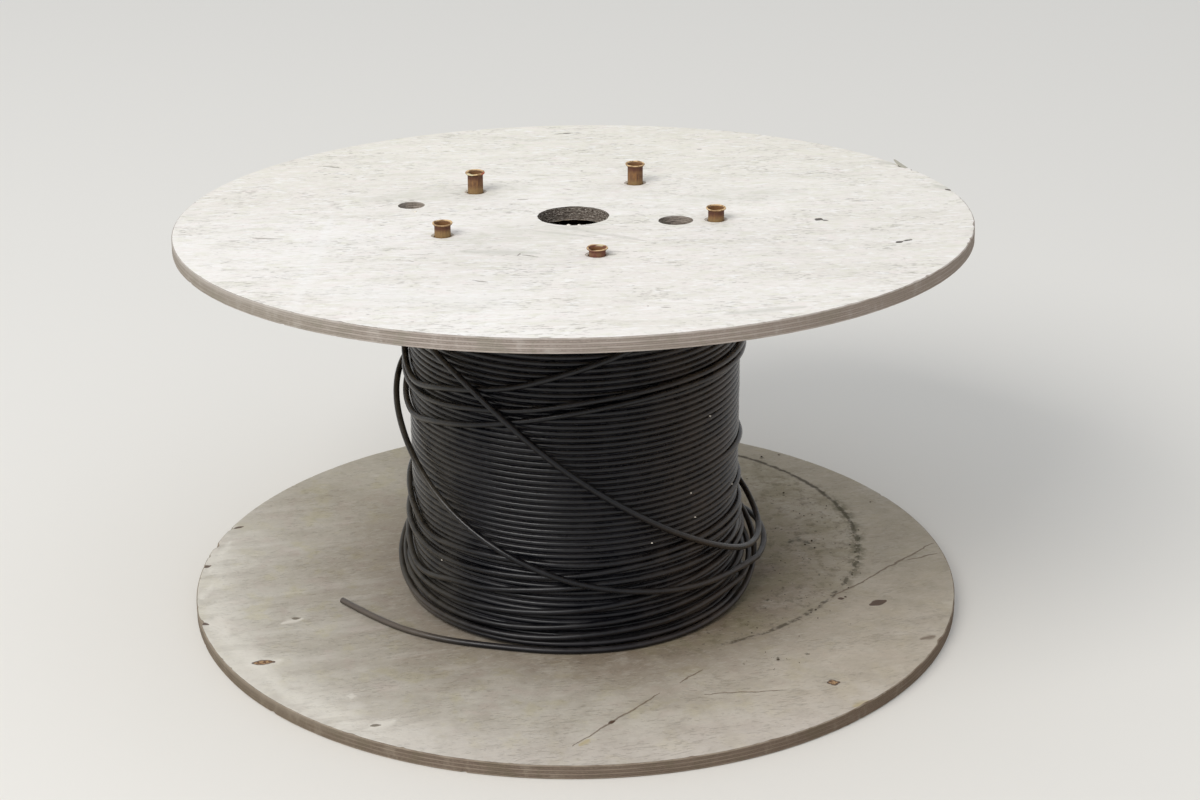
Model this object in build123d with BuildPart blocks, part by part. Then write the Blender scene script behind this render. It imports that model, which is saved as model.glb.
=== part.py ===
"""Plywood cable drum standing on its end, with black cable wound on it and some turns gone slack.

Origin: centre of the lower flange's underside. +Z runs up the drum's axis. Millimetres.
The near side, as the drum is looked at, is -Y, and azimuths are counted from +X towards +Y.
"""
from build123d import *
import math
import os

os.makedirs("parts", exist_ok=True)

# Flanges: two equal plywood discs.
flange_dia = 900.0
flange_t = 16.0
flange_arris = 1.2
inside_width = 451.4  # between the flanges while the flared tubes still held them tight
bore_dia = 80.0

# The upper flange has slipped down the tubes and sits askew.
slip = 18.4  # how far its middle has come down
slip_tilt = 3.0  # degrees
slip_high_side = -79.0  # azimuth of the side that stayed highest

# Drive hole, for the pin that turns the drum, and start hole, for the cable's inner end.
drive_dia = 38.0
drive_radius = 118.0
drive_azimuth = -13.0
start_dia = 30.0
start_land = 2.5  # between the start hole and the barrel's outside, seen from above
start_azimuth = 163.0

# Tie tubes: steel tubes with both ends flared, which draw the flanges together.
tube_count = 5
tube_first_azimuth = -9.0
tube_dia = 18.0
tube_wall = 1.5
tube_to_barrel = 1.5  # the tubes stand this far inside the barrel
flare_dia = 23.4
flare_height = 5.2
flare_lip = 1.1
tube_play = 1.0  # radial clearance in the flange's holes
recess_dia = 28.0  # counterbore that takes a flared end
recess_depth = 5.0
flare_shy = 0.4  # how far a seated flare stays below the face

# Barrel between the flanges, seated in a ring groove in each.
barrel_dia = 355.0
barrel_wall = 5.0
groove_depth = 5.0
groove_play = 0.8
barrel_end_play = 0.3

# Cable, wound in two layers.
cable_dia = 7.2
cable_pitch = 7.4
layer_count = 2
layer_step = 6.3  # rise of a layer that beds into the one below
turn_crown = 2.0  # how far the back of each layer stands out of the winding's ends
winding_play = 0.3
winding_end_play = 0.3
foot_spread = 4.0  # the lowest turns have slid outwards by this much
foot_height = 130.0  # height over which the winding widens towards its foot

# Levels and radii that follow from the sizes above.
cable_r = cable_dia / 2
barrel_r = barrel_dia / 2
tube_ring_radius = barrel_r - barrel_wall - tube_to_barrel - tube_dia / 2
tube_length = inside_width + 2 * flange_t - 2 * flare_shy
start_radius = barrel_r + start_land + start_dia / 2
flange_gap = inside_width - slip  # clear width on the axis as the drum stands now
lower_face = flange_t
upper_middle = flange_t + flange_gap + flange_t / 2
slope = math.tan(math.radians(slip_tilt))
slope_x = slope * math.cos(math.radians(slip_high_side))
slope_y = slope * math.sin(math.radians(slip_high_side))
winding_bore_r = barrel_r + winding_play
winding_r = winding_bore_r + cable_dia + (layer_count - 1) * layer_step
foot_r = winding_r + foot_spread
lowest_underside = flange_t + flange_gap - slope * winding_r
turn_count = math.floor((lowest_underside - lower_face - 2 * winding_end_play) / cable_pitch)
winding_bottom = lower_face + winding_end_play
winding_top = winding_bottom + turn_count * cable_pitch


def spot(radius, azimuth):
    """Point on the ground plan at a radius and an azimuth in degrees."""
    turn = math.radians(azimuth)
    return (radius * math.cos(turn), radius * math.sin(turn))


tube_azimuths = [tube_first_azimuth + 360 / tube_count * i for i in range(tube_count)]
tube_spots = [spot(tube_ring_radius, azimuth) for azimuth in tube_azimuths]

# Mid planes of the flanges. Each is cut from its own plane, so the upper one carries its holes askew with it.
lower_plane = Plane.XY.offset(flange_t / 2)
upper_plane = Plane(origin=(0, 0, upper_middle), x_dir=(1, 0, slope_x), z_dir=(-slope_x, -slope_y, 1))
lower_outside = lower_plane.offset(-flange_t / 2)
lower_inside = lower_plane.offset(flange_t / 2)
upper_inside = upper_plane.offset(-flange_t / 2)
upper_outside = upper_plane.offset(flange_t / 2)

# Lower flange: disc, bore, drive hole, tube holes with counterbores underneath, barrel groove on top.
with BuildPart() as flange_bottom:
    with BuildSketch(lower_outside):
        Circle(flange_dia / 2)
    extrude(amount=flange_t)
    chamfer(flange_bottom.edges().filter_by(GeomType.CIRCLE), length=flange_arris)
    with BuildSketch(lower_outside):
        Circle(bore_dia / 2)
        with Locations(spot(drive_radius, drive_azimuth)):
            Circle(drive_dia / 2)
        with Locations(*tube_spots):
            Circle(tube_dia / 2 + tube_play)
    extrude(amount=flange_t, mode=Mode.SUBTRACT)
    with BuildSketch(lower_outside):
        with Locations(*tube_spots):
            Circle(recess_dia / 2)
    extrude(amount=recess_depth, mode=Mode.SUBTRACT)
    with BuildSketch(lower_inside):
        Circle(barrel_r + groove_play)
        Circle(barrel_r - barrel_wall - groove_play, mode=Mode.SUBTRACT)
    extrude(amount=-groove_depth, mode=Mode.SUBTRACT)

# Upper flange: the same drilling turned face up, and the start hole as well.
with BuildPart() as flange_top:
    with BuildSketch(upper_inside):
        Circle(flange_dia / 2)
    extrude(amount=flange_t)
    chamfer(flange_top.edges().filter_by(GeomType.CIRCLE), length=flange_arris)
    with BuildSketch(upper_inside):
        Circle(bore_dia / 2)
        with Locations(spot(drive_radius, drive_azimuth)):
            Circle(drive_dia / 2)
        with Locations(spot(start_radius, start_azimuth)):
            Circle(start_dia / 2)
        with Locations(*tube_spots):
            Circle(tube_dia / 2 + tube_play)
    extrude(amount=flange_t, mode=Mode.SUBTRACT)
    with BuildSketch(upper_outside):
        with Locations(*tube_spots):
            Circle(recess_dia / 2)
    extrude(amount=-recess_depth, mode=Mode.SUBTRACT)
    with BuildSketch(upper_inside):
        Circle(barrel_r + groove_play)
        Circle(barrel_r - barrel_wall - groove_play, mode=Mode.SUBTRACT)
    extrude(amount=groove_depth, mode=Mode.SUBTRACT)

flange_bottom.part.label = "flange_bottom"
flange_top.part.label = "flange_top"
export_step(flange_bottom.part, "parts/flange_bottom.step")
export_step(flange_top.part, "parts/flange_top.step")

# Barrel: a plain ring, square at both ends. It stands in the lower groove and reaches the bottom of the
# upper groove only on the side where the flange has slipped furthest.
barrel_bottom = lower_face - groove_depth + barrel_end_play
barrel_height = flange_t + flange_gap - slope * barrel_r + groove_depth - barrel_end_play - barrel_bottom
with BuildPart() as barrel:
    with BuildSketch(Plane.XY.offset(barrel_bottom)):
        Circle(barrel_r)
        Circle(barrel_r - barrel_wall, mode=Mode.SUBTRACT)
    extrude(amount=barrel_height)

barrel.part.label = "barrel"
export_step(barrel.part, "parts/barrel.step")

# Winding: one turned solid with its bore. Its side runs straight down and spreads at the foot, and each
# layer of cable shows on both ends as a ridge with sloping sides.
side_top = winding_top - turn_crown
side_foot = winding_bottom + turn_crown


def layer_ridges(outer_r, valley, ridge):
    """Profile of one end of the winding, from the bore outwards, as points (radius, height)."""
    width = (outer_r - winding_bore_r) / layer_count
    outline = [(winding_bore_r, valley)]
    for layer in range(layer_count):
        inner = winding_bore_r + layer * width
        outline.append((inner + turn_crown, ridge))
        outline.append((inner + width - turn_crown, ridge))
        outline.append((inner + width, valley))
    return outline


top_ridges = layer_ridges(winding_r, side_top, winding_top)
foot_ridges = layer_ridges(foot_r, side_foot, winding_bottom)
with BuildPart() as winding:
    with BuildSketch(Plane.XZ):
        with BuildLine():
            Polyline(*top_ridges)
            Line((winding_r, side_top), (winding_r, side_foot + foot_height))
            Line((winding_r, side_foot + foot_height), (foot_r, side_foot))
            Polyline(*foot_ridges)
            Line((winding_bore_r, side_foot), (winding_bore_r, side_top))
        make_face()
    revolve(axis=Axis.Z)

winding.part.label = "winding"
export_step(winding.part, "parts/winding.step")

# Tie tubes: the flared upper half of the wall is drawn about the tube's middle and mirrored.
tube_names = ["tie_tube_right", "tie_tube_back_right", "tie_tube_back_left", "tie_tube_left", "tie_tube_front"]
tube_middle = flare_shy + tube_length / 2
tube_r = tube_dia / 2
half_length = tube_length / 2
for tube_name, (tube_x, tube_y) in zip(tube_names, tube_spots):
    tube_plane = Plane(origin=(tube_x, tube_y, tube_middle), x_dir=(1, 0, 0), z_dir=(0, -1, 0))
    with BuildPart() as tie_tube:
        with BuildSketch(tube_plane):
            with BuildLine():
                bend_top = (flare_dia / 2, half_length - flare_lip)
                bend_foot = (tube_r, half_length - flare_height)
                mouth = (flare_dia / 2 - flare_lip, half_length)
                throat = (tube_r - tube_wall, half_length - flare_height)
                Line((tube_r, 0), bend_foot)
                Line(bend_foot, bend_top)
                Line(bend_top, mouth)
                Line(mouth, throat)
                Line(throat, (tube_r - tube_wall, 0))
                Line((tube_r - tube_wall, 0), (tube_r, 0))
            make_face()
            mirror(about=Plane.XZ)
        revolve(axis=Axis((tube_x, tube_y, 0), (0, 0, 1)))
    tie_tube.part.label = tube_name
    export_step(tie_tube.part, f"parts/{tube_name}.step")

# Slack cable. A route is a row of points, each an azimuth, the radius of the cable's middle and its height.
# It runs straight from point to point, and each bend is as wide as the two runs beside it allow.
cut_end_route = [
    (-164.6, 283.0, 19.8),
    (-149.3, 258.5, 19.8),
    (-132.8, 235.5, 19.8),
    (-115.3, 213.6, 19.8),
    (-93.0, 206.5, 19.8),
    (-69.0, 211.5, 19.8),
    (-44.0, 215.0, 20.6),
    (-18.0, 224.0, 33.0),
    (7.0, 229.0, 68.0),
    (33.0, 215.0, 101.0),
    (61.0, 207.0, 112.0),
    (90.0, 205.5, 113.0),
    (119.0, 206.0, 107.0),
    (148.0, 209.0, 93.0),
    (176.0, 214.0, 68.0),
    (202.0, 213.0, 43.0),
    (229.0, 209.0, 31.5),
    (257.0, 208.0, 29.5),
    (285.0, 208.0, 30.5),
    (312.0, 209.0, 33.5),
    (338.0, 208.0, 44.0),
]
fallen_route = [
    (-205.0, 203.0, 405.0),
    (-179.0, 203.0, 388.0),
    (-153.0, 202.0, 366.0),
    (-128.0, 200.5, 332.0),
    (-107.0, 199.5, 280.0),
    (-88.0, 199.5, 226.0),
    (-66.0, 200.5, 172.0),
    (-43.0, 204.0, 124.0),
    (-19.0, 214.0, 85.0),
    (4.0, 231.0, 84.0),
    (26.0, 221.0, 122.0),
    (52.0, 205.0, 156.0),
    (80.0, 202.0, 196.0),
    (108.0, 201.5, 236.0),
    (136.0, 202.0, 274.0),
    (162.0, 205.0, 302.0),
    (184.0, 208.0, 276.0),
    (203.0, 204.0, 224.0),
    (224.0, 201.5, 176.0),
    (247.0, 201.5, 134.0),
    (271.0, 203.0, 102.0),
    (297.0, 205.0, 82.0),
    (323.0, 209.0, 70.0),
    (349.0, 217.0, 56.0),
]


def route_points(route, height=0.0):
    """The route's points in space."""
    return [(*spot(radius, azimuth), level + height) for azimuth, radius, level in route]


def bend_radii(points):
    """Widest bend at each inner point: 0.45 of the shorter run beside it, over the tangent of half the turn."""
    radii = []
    for before, corner, after in zip(points, points[1:], points[2:]):
        run_in = Vector(*corner) - Vector(*before)
        run_out = Vector(*after) - Vector(*corner)
        half_turn = math.radians(run_in.get_angle(run_out)) / 2
        radii.append(0.45 * min(run_in.length, run_out.length) / math.tan(half_turn))
    return radii


for cable_name, route in (("cable_cut_end", cut_end_route), ("cable_fallen_turns", fallen_route)):
    points = route_points(route)
    radii = bend_radii(points)
    with BuildPart() as slack_cable:
        with BuildLine() as course:
            FilletPolyline(*points, radius=radii)
        middle_line = course.wire()
        with BuildSketch(Plane(origin=middle_line @ 0, z_dir=middle_line % 0)):
            Circle(cable_r)
        sweep(path=middle_line)
    section_by_length = math.pi * cable_r**2 * middle_line.length
    print(cable_name, "length", round(middle_line.length), "bend radii", [round(radius) for radius in radii])
    print("volume over section times length", round(slack_cable.part.volume / section_by_length, 4))
    slack_cable.part.label = cable_name
    export_step(slack_cable.part, f"parts/{cable_name}.step")
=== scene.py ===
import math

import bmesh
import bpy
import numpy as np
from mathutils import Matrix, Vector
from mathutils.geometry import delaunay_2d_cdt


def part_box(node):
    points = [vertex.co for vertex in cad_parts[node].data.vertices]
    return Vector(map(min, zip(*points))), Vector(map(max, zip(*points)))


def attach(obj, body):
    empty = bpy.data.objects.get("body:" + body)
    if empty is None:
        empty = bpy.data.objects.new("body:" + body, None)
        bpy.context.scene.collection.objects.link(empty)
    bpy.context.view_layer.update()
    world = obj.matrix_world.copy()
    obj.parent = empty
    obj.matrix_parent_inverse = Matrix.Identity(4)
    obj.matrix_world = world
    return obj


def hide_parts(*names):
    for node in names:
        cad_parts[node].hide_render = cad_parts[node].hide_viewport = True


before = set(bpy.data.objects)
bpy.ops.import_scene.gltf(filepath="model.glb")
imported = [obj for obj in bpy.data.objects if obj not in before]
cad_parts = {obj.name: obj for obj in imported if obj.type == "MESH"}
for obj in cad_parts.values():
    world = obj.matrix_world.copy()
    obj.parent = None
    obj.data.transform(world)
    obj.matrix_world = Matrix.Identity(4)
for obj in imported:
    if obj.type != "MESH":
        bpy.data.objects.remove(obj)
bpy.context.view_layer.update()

# %% [markdown]
# # A plywood cable drum with slack cable on it
#
# The drum stands on its end. It is two plywood discs, a hidden barrel, five rusty tubes with flared ends
# that used to draw the discs together, and over a hundred turns of thin black cable. The upper disc has
# slipped down the tubes and lies askew. Some turns of the cable have come loose.
#
# The frame that was just loaded holds the drum's exact sizes.

print("frame nodes:", sorted(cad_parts))

# %% [markdown]
# ## Camera
#
# The camera stands 2.7 m in front of the drum and 1.35 m above the floor, and looks down by 22 degrees. Its
# lens is long for a room picture, so the discs are only a little flattened by distance. The small shift puts
# the lens's own middle where it lies in the picture, which is 1200 by 800 pixels.

# %% Camera
camera_data = bpy.data.cameras.new("Camera")
camera = bpy.data.objects.new("Camera", camera_data)
bpy.context.collection.objects.link(camera)
bpy.context.scene.camera = camera

yaw, pitch, roll = math.radians(0.491), math.radians(21.960), math.radians(-0.217)
forward = np.array([math.sin(yaw) * math.cos(pitch), math.cos(yaw) * math.cos(pitch), -math.sin(pitch)])
level_right = np.array([math.cos(yaw), -math.sin(yaw), 0.0])
level_up = np.cross(level_right, forward)
right = math.cos(roll) * level_right + math.sin(roll) * level_up
up = -math.sin(roll) * level_right + math.cos(roll) * level_up
turn = np.stack([right, up, -forward], axis=1)
camera.matrix_world = Matrix.Translation((0.0, -2.7174, 1.3538)) @ Matrix(turn.tolist()).to_4x4()
picture_width, picture_height = 1200, 800
focal_pixels, lens_middle = 2522.2, (594.6, 385.41)
camera_data.sensor_width = 36.0
camera_data.lens = focal_pixels / picture_width * 36.0
camera_data.shift_x = (picture_width / 2 - lens_middle[0]) / picture_width
camera_data.shift_y = (lens_middle[1] - picture_height / 2) / picture_width
camera_data.clip_end = 50.0
print("lens:", round(camera_data.lens, 2), "mm")

# %% [markdown]
# ## Slack cable
#
# Two lengths of the cable hang free of the winding. One lies round the foot of the drum and ends in a cut end
# on the lower disc. The other slants across the front, swings out at the right, goes round the back and
# slants across once more. A cable is stiff enough to take smooth curves, so each is a spline whose control
# points are the route, given as azimuth, distance from the axis and height. A spline of order 3 stays close
# to its control points and has no corners.

# %% Slack cable
cable_radius = 0.0036


def round_the_axis(azimuths, radii, heights):
    """Points from cylinder coordinates: x = r cos a, y = r sin a, z = height, with a in degrees."""
    a = np.radians(np.asarray(azimuths, float))
    r = np.asarray(radii, float)
    return np.stack([r * np.cos(a), r * np.sin(a), np.asarray(heights, float) + 0 * r], axis=-1)


def slack_cable(name, route):
    """A round cable whose middle is a NURBS spline of order 3 with the route as its control points. The bevel's
    depth is 1 and each point's radius is the cable's, because Blender adds a point's radius to the curve's box."""
    points = round_the_axis(*np.array(route).T)
    curve = bpy.data.curves.new(name, "CURVE")
    curve.dimensions = "3D"
    curve.bevel_depth = 1.0
    curve.bevel_resolution = 6
    curve.resolution_u = 14
    curve.use_fill_caps = True
    spline = curve.splines.new("NURBS")
    spline.points.add(len(points) - 1)
    spline.points.foreach_set("co", np.c_[points, np.ones(len(points))].ravel())
    spline.points.foreach_set("radius", np.full(len(points), cable_radius))
    spline.order_u = 3
    spline.use_endpoint_u = True
    piece = bpy.data.objects.new(name, curve)
    bpy.context.collection.objects.link(piece)
    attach(piece, "root")
    print(name, "has", len(points), "control points")
    return piece, points


cut_end_route = [
    (-164.6, 0.2830, 0.0198), (-149.3, 0.2585, 0.0198), (-132.8, 0.2355, 0.0198), (-115.3, 0.2136, 0.0198),
    (-93.0, 0.2090, 0.0198), (-69.0, 0.2095, 0.0198), (-44.0, 0.2080, 0.0200), (-18.0, 0.2130, 0.0270),
    (7.0, 0.2200, 0.0590), (33.0, 0.2135, 0.0900), (61.0, 0.2070, 0.1060), (90.0, 0.2060, 0.1100),
    (119.0, 0.2080, 0.1050), (148.0, 0.2105, 0.0870), (176.0, 0.2130, 0.0560), (202.0, 0.2110, 0.0340),
    (229.0, 0.2080, 0.0300), (257.0, 0.2080, 0.0320), (285.0, 0.2085, 0.0415), (312.0, 0.2095, 0.0440),
    (338.0, 0.2080, 0.0480),
]
fallen_route = [
    (-205.0, 0.2030, 0.4050), (-179.0, 0.2050, 0.3880), (-153.0, 0.2055, 0.3700), (-128.0, 0.2055, 0.3345),
    (-107.0, 0.2050, 0.2780), (-88.0, 0.2030, 0.2230), (-66.0, 0.2030, 0.1680), (-43.0, 0.2065, 0.1195),
    (-19.0, 0.2145, 0.0800), (4.0, 0.2245, 0.0720), (26.0, 0.2185, 0.1085), (52.0, 0.2060, 0.1430),
    (80.0, 0.2035, 0.1860), (108.0, 0.2035, 0.2270), (136.0, 0.2040, 0.2630), (162.0, 0.2055, 0.2900),
    (184.0, 0.2105, 0.2640), (203.0, 0.2080, 0.2170), (224.0, 0.2065, 0.1710), (247.0, 0.2075, 0.1320),
    (271.0, 0.2090, 0.1010), (297.0, 0.2090, 0.0810), (323.0, 0.2095, 0.0680), (349.0, 0.2170, 0.0560),
]
cut_end, cut_end_points = slack_cable("slack_cable_cut_end", cut_end_route)
fallen, fallen_points = slack_cable("slack_cable_fallen_turns", fallen_route)
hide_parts("cable_cut_end")
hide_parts("cable_fallen_turns")

# %% [markdown]
# ## Meshes from arrays
#
# Every new solid below is worked out as an array of points first. A grid of points, rows by columns, becomes
# a surface by joining each point to its neighbours, and the grid may close on itself either way.

# %% Meshes from arrays
def grid_faces(rows, columns, close_rows=False, close_columns=False, first=0):
    """Four-sided faces of a grid whose point (i, j) has the index first + i * columns + j."""
    i = np.arange(rows if close_rows else rows - 1)[:, None]
    j = np.arange(columns if close_columns else columns - 1)[None, :]
    next_i, next_j = (i + 1) % rows, (j + 1) % columns
    corners = [i * columns + j, i * columns + next_j, next_i * columns + next_j, next_i * columns + j]
    return np.stack([c + 0 * (i + j) for c in corners], axis=-1).reshape(-1, 4) + first


def enclosed_volume(points, faces):
    """Volume inside closed faces: the sum of a . (b x c) / 6 over their triangles. It is positive when the
    faces point outwards."""
    total = 0.0
    for group in faces:
        for k in range(1, group.shape[1] - 1):
            a, b, c = points[group[:, 0]], points[group[:, k]], points[group[:, k + 1]]
            total += float((a * np.cross(b, c)).sum()) / 6
    return total


def make_piece(name, points, faces, slots=None, sharp_angle=35.0):
    """A mesh object from points (n, 3) in metres and a list of face arrays, with one slot number per array. All
    faces are turned round if they enclose a negative volume."""
    volume = enclosed_volume(points, faces)
    if volume < 0:
        faces = [group[:, ::-1] for group in faces]
    mesh = bpy.data.meshes.new(name)
    mesh.from_pydata(points.tolist(), [], [face for group in faces for face in group.tolist()])
    if slots is not None:
        numbers = np.concatenate([np.full(len(group), slot) for group, slot in zip(faces, slots)])
        mesh.polygons.foreach_set("material_index", numbers.astype(np.int32))
    mesh.polygons.foreach_set("use_smooth", np.ones(len(mesh.polygons), bool))
    mesh.set_sharp_from_angle(angle=math.radians(sharp_angle))
    piece = bpy.data.objects.new(name, mesh)
    bpy.context.collection.objects.link(piece)
    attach(piece, "root")
    print(name, "has", len(mesh.polygons), "faces round", round(abs(volume) * 1e6, 1), "cubic centimetres")
    return piece


def smooth_noise(shape, grain, seed):
    """Smooth random numbers from -1 to 1, which close on themselves. White noise is blurred by a bell curve as
    wide as grain, in steps along each direction, by multiplying its Fourier transform with the curve's own."""
    values = np.random.default_rng(seed).standard_normal(shape)
    for axis, width in enumerate(grain):
        if width > 0:
            frequency = np.fft.fftfreq(shape[axis])
            bell = np.exp(-2 * (math.pi * frequency * width) ** 2)
            bell = bell.reshape([-1 if k == axis else 1 for k in range(len(shape))])
            values = np.fft.ifft(np.fft.fft(values, axis=axis) * bell, axis=axis).real
    return values / (np.abs(values).max() + 1e-12)


def degrees_aside(azimuths, middle):
    """Degrees from a middle azimuth, the short way round."""
    return (azimuths - middle + 180) % 360 - 180


def bell_curve(distance, width):
    """exp(-(distance / width) ** 2): 1 at no distance, and nearly 0 at two widths."""
    return np.exp(-((distance / width) ** 2))


def spline_through(knots_and_notch_shade, values, at):
    """Natural cubic spline through (knots, values): the second derivatives solve one linear system, in which
    each row says that the slope has no jump at a knot."""
    x, y, t = (np.asarray(v, float) for v in (knots_and_notch_shade, values, at))
    h = np.diff(x)
    system = np.eye(len(x))
    side = np.zeros(len(x))
    inner = np.arange(1, len(x) - 1)
    system[inner, inner - 1] = h[:-1] / 6
    system[inner, inner] = (h[:-1] + h[1:]) / 3
    system[inner, inner + 1] = h[1:] / 6
    side[inner] = np.diff(y)[1:] / h[1:] - np.diff(y)[:-1] / h[:-1]
    bend = np.linalg.solve(system, side)
    k = np.clip(np.searchsorted(x, t) - 1, 0, len(x) - 2)
    a, b = (x[k + 1] - t) / h[k], (t - x[k]) / h[k]
    return a * y[k] + b * y[k + 1] + ((a**3 - a) * bend[k] + (b**3 - b) * bend[k + 1]) * h[k] ** 2 / 6


print("mesh helpers ready")

# %% [markdown]
# ## Wound cable
#
# The winding is one long cable: fifty-six turns side by side in each of two layers. A smooth cylinder with
# stripes would look flat at the edges, so the turns are real tubes. The middle of the cable is a helix, and a
# circle is carried along it. Small, slow random changes of height and distance keep the turns from looking
# machined, and the lowest turns stand further out, as they do on the real drum. The outer layer has plenty of
# segments, and the hidden inner one has few.

# %% Wound cable
pitch, turns, start_height = 0.0074, 56, 0.0200
lowest_middle, highest_middle = 0.0198, 0.4346
foot_height, foot_reach, foot_width = 0.0187, 0.130, 0.0040


def widened(heights):
    """Extra distance from the axis at the foot of the winding: all of foot_width at foot_height, and evenly less
    up to nothing, foot_reach higher."""
    return foot_width * np.clip(1 - (heights - foot_height) / foot_reach, 0, 1)


def tube_along(path, radius, sides):
    """Points of a tube: path + radius (cos p * outward + sin p * upward), where outward is level and square
    to the path, and upward is square to both."""
    tangent = np.gradient(path, axis=0)
    tangent /= np.linalg.norm(tangent, axis=1, keepdims=True)
    outward = np.cross(tangent, [0.0, 0.0, 1.0])
    outward /= np.linalg.norm(outward, axis=1, keepdims=True)
    upward = np.cross(outward, tangent)
    p = np.linspace(0, 2 * math.pi, sides, endpoint=False)[None, :, None]
    return path[:, None, :] + radius * (np.cos(p) * outward[:, None, :] + np.sin(p) * upward[:, None, :])


def tube_piece(name, paths, radius, sides):
    """One piece of several tubes, each closed by a fan of triangles at both ends."""
    points, faces = [], []
    count = 0
    for path in paths:
        skin = tube_along(path, radius, sides)
        rows = len(path)
        points += [skin.reshape(-1, 3), path[:1], path[-1:]]
        faces.append(grid_faces(rows, sides, close_columns=True, first=count))
        j = np.arange(sides)
        after = (j + 1) % sides
        start, end = count + rows * sides, count + rows * sides + 1
        last_row = count + (rows - 1) * sides
        faces.append(np.stack([j + count, np.full(sides, start), after + count], axis=1))
        faces.append(np.stack([after + last_row, np.full(sides, end), j + last_row], axis=1))
        count += rows * sides + 2
    piece = make_piece(name, np.concatenate(points), faces, sharp_angle=60)
    return piece


def helix(steps, middle_radius, seed):
    """Wound cable: azimuth grows evenly, height by one pitch a turn. Height and distance from the axis have a
    little slow noise, but the lowest and the highest turn keep their height."""
    n = steps * turns + 1
    azimuth = np.linspace(0, 360 * turns, n)
    height = start_height + pitch * azimuth / 360
    sway = smooth_noise((n,), (steps / 7,), seed)
    push = smooth_noise((n,), (steps / 12,), seed + 1)
    radius = middle_radius + widened(height) + 0.00035 * push
    inside = np.minimum(1.0, np.minimum(height - lowest_middle, highest_middle - height) / 0.002).clip(0)
    return azimuth, radius, height + 0.00032 * sway * inside


# Three turns at the right and one at the left stand off a little: bell-shaped bumps in the distance from the
# axis, each as azimuth, height and size.
bumps = [(-6, 0.204, 0.0045), (-10, 0.153, 0.0040), (-9, 0.096, 0.0045), (152, 0.262, 0.0040)]
bump_degrees = 20
outer_azimuth, outer_radius, outer_height = helix(120, 0.1877, 3)
for bump_azimuth, bump_height, bump_size in bumps:
    aside = degrees_aside(outer_azimuth, bump_azimuth)
    that_turn = np.abs(outer_height - bump_height - aside / 360 * pitch) < pitch / 2
    outer_radius = outer_radius + bump_size * (bell_curve(aside, bump_degrees) * that_turn)
outer_path = round_the_axis(outer_azimuth, outer_radius, outer_height)
outer_turns = tube_piece("wound_outer_turns", [outer_path], cable_radius, 10)
inner_turns = tube_piece("wound_inner_turns", [round_the_axis(*helix(64, 0.1814, 11))], cable_radius, 6)
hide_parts("winding")

# %% [markdown]
# ## Loosened turns
#
# Over the even winding lie turns that have dropped on one side and cross the others, three near the top and
# six at the foot. Each is given by a few heights round the drum, and a natural spline runs through them. It
# rests on the winding, so its distance from the axis is the winding's own plus one cable, and at both ends
# it dives between its neighbours, where the eye loses it. Three more lengths carry on where the two slack
# cables stop, so that no cable ends in the air.

# %% Loosened turns
resting_radius, dive_depth, dive_degrees = 0.1946, 0.0069, 28


def loosened(knots_and_notch_shade, dive_start=True, dive_end=True):
    """Path of a loosened turn through knots (azimuth, height in mm, extra distance in mm). The distance from the
    axis is the resting one, wider at the foot, plus the extra, less the dive depth times 1 - s at the ends,
    where s is the smooth step e * e * (3 - 2 e)."""
    knot_azimuths, heights, extras = np.array(knots_and_notch_shade, float).T
    azimuth = np.arange(knot_azimuths[0], knot_azimuths[-1] + 0.1, 2.5)
    height = spline_through(knot_azimuths, heights, azimuth) / 1000
    extra = spline_through(knot_azimuths, extras, azimuth) / 1000
    ease = np.ones_like(azimuth)
    if dive_start:
        ease = np.minimum(ease, np.clip((azimuth - azimuth[0]) / dive_degrees, 0, 1))
    if dive_end:
        ease = np.minimum(ease, np.clip((azimuth[-1] - azimuth) / dive_degrees, 0, 1))
    ease = ease * ease * (3 - 2 * ease)
    radius = resting_radius + widened(height) + extra - (1 - ease) * dive_depth
    return round_the_axis(azimuth, radius, height)


top_turns = [
    [(-300, 415, 0), (-265, 414, 0), (-230, 400, 0), (-200, 364, 0), (-180, 326, 0.6), (-170, 308, 1.0),
     (-160, 297, 1.0), (-150, 299, 0.3), (-139, 308, 0), (-125, 318, 0), (-107, 333, 0), (-94, 348, 0),
     (-77, 367, 0), (-55, 392, 0), (-25, 408, 0), (10, 412, 0), (45, 411, 0)],
    [(-290, 352, 0), (-250, 350, 0), (-215, 330, 0), (-190, 306, 0.4), (-175, 292, 0.8), (-163, 287, 0.6),
     (-146, 287, 0), (-125, 296, 0), (-107, 304, 0), (-89, 315, 0), (-68, 323, 0), (-45, 326, 0), (-10, 326, 0),
     (30, 328, 0), (60, 329, 0)],
    [(-285, 330, 0), (-250, 326, 0), (-220, 310, 0), (-195, 282, 0), (-180, 265, 0.5), (-168, 256, 1.0),
     (-156, 254, 0.6), (-145, 262, 0), (-134, 270, 0), (-121, 280, 0), (-110, 289, 0), (-100, 297, 0),
     (-81, 309, 0), (-60, 316, 0), (-30, 317, 0), (10, 317, 0), (40, 318, 0)],
]
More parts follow.
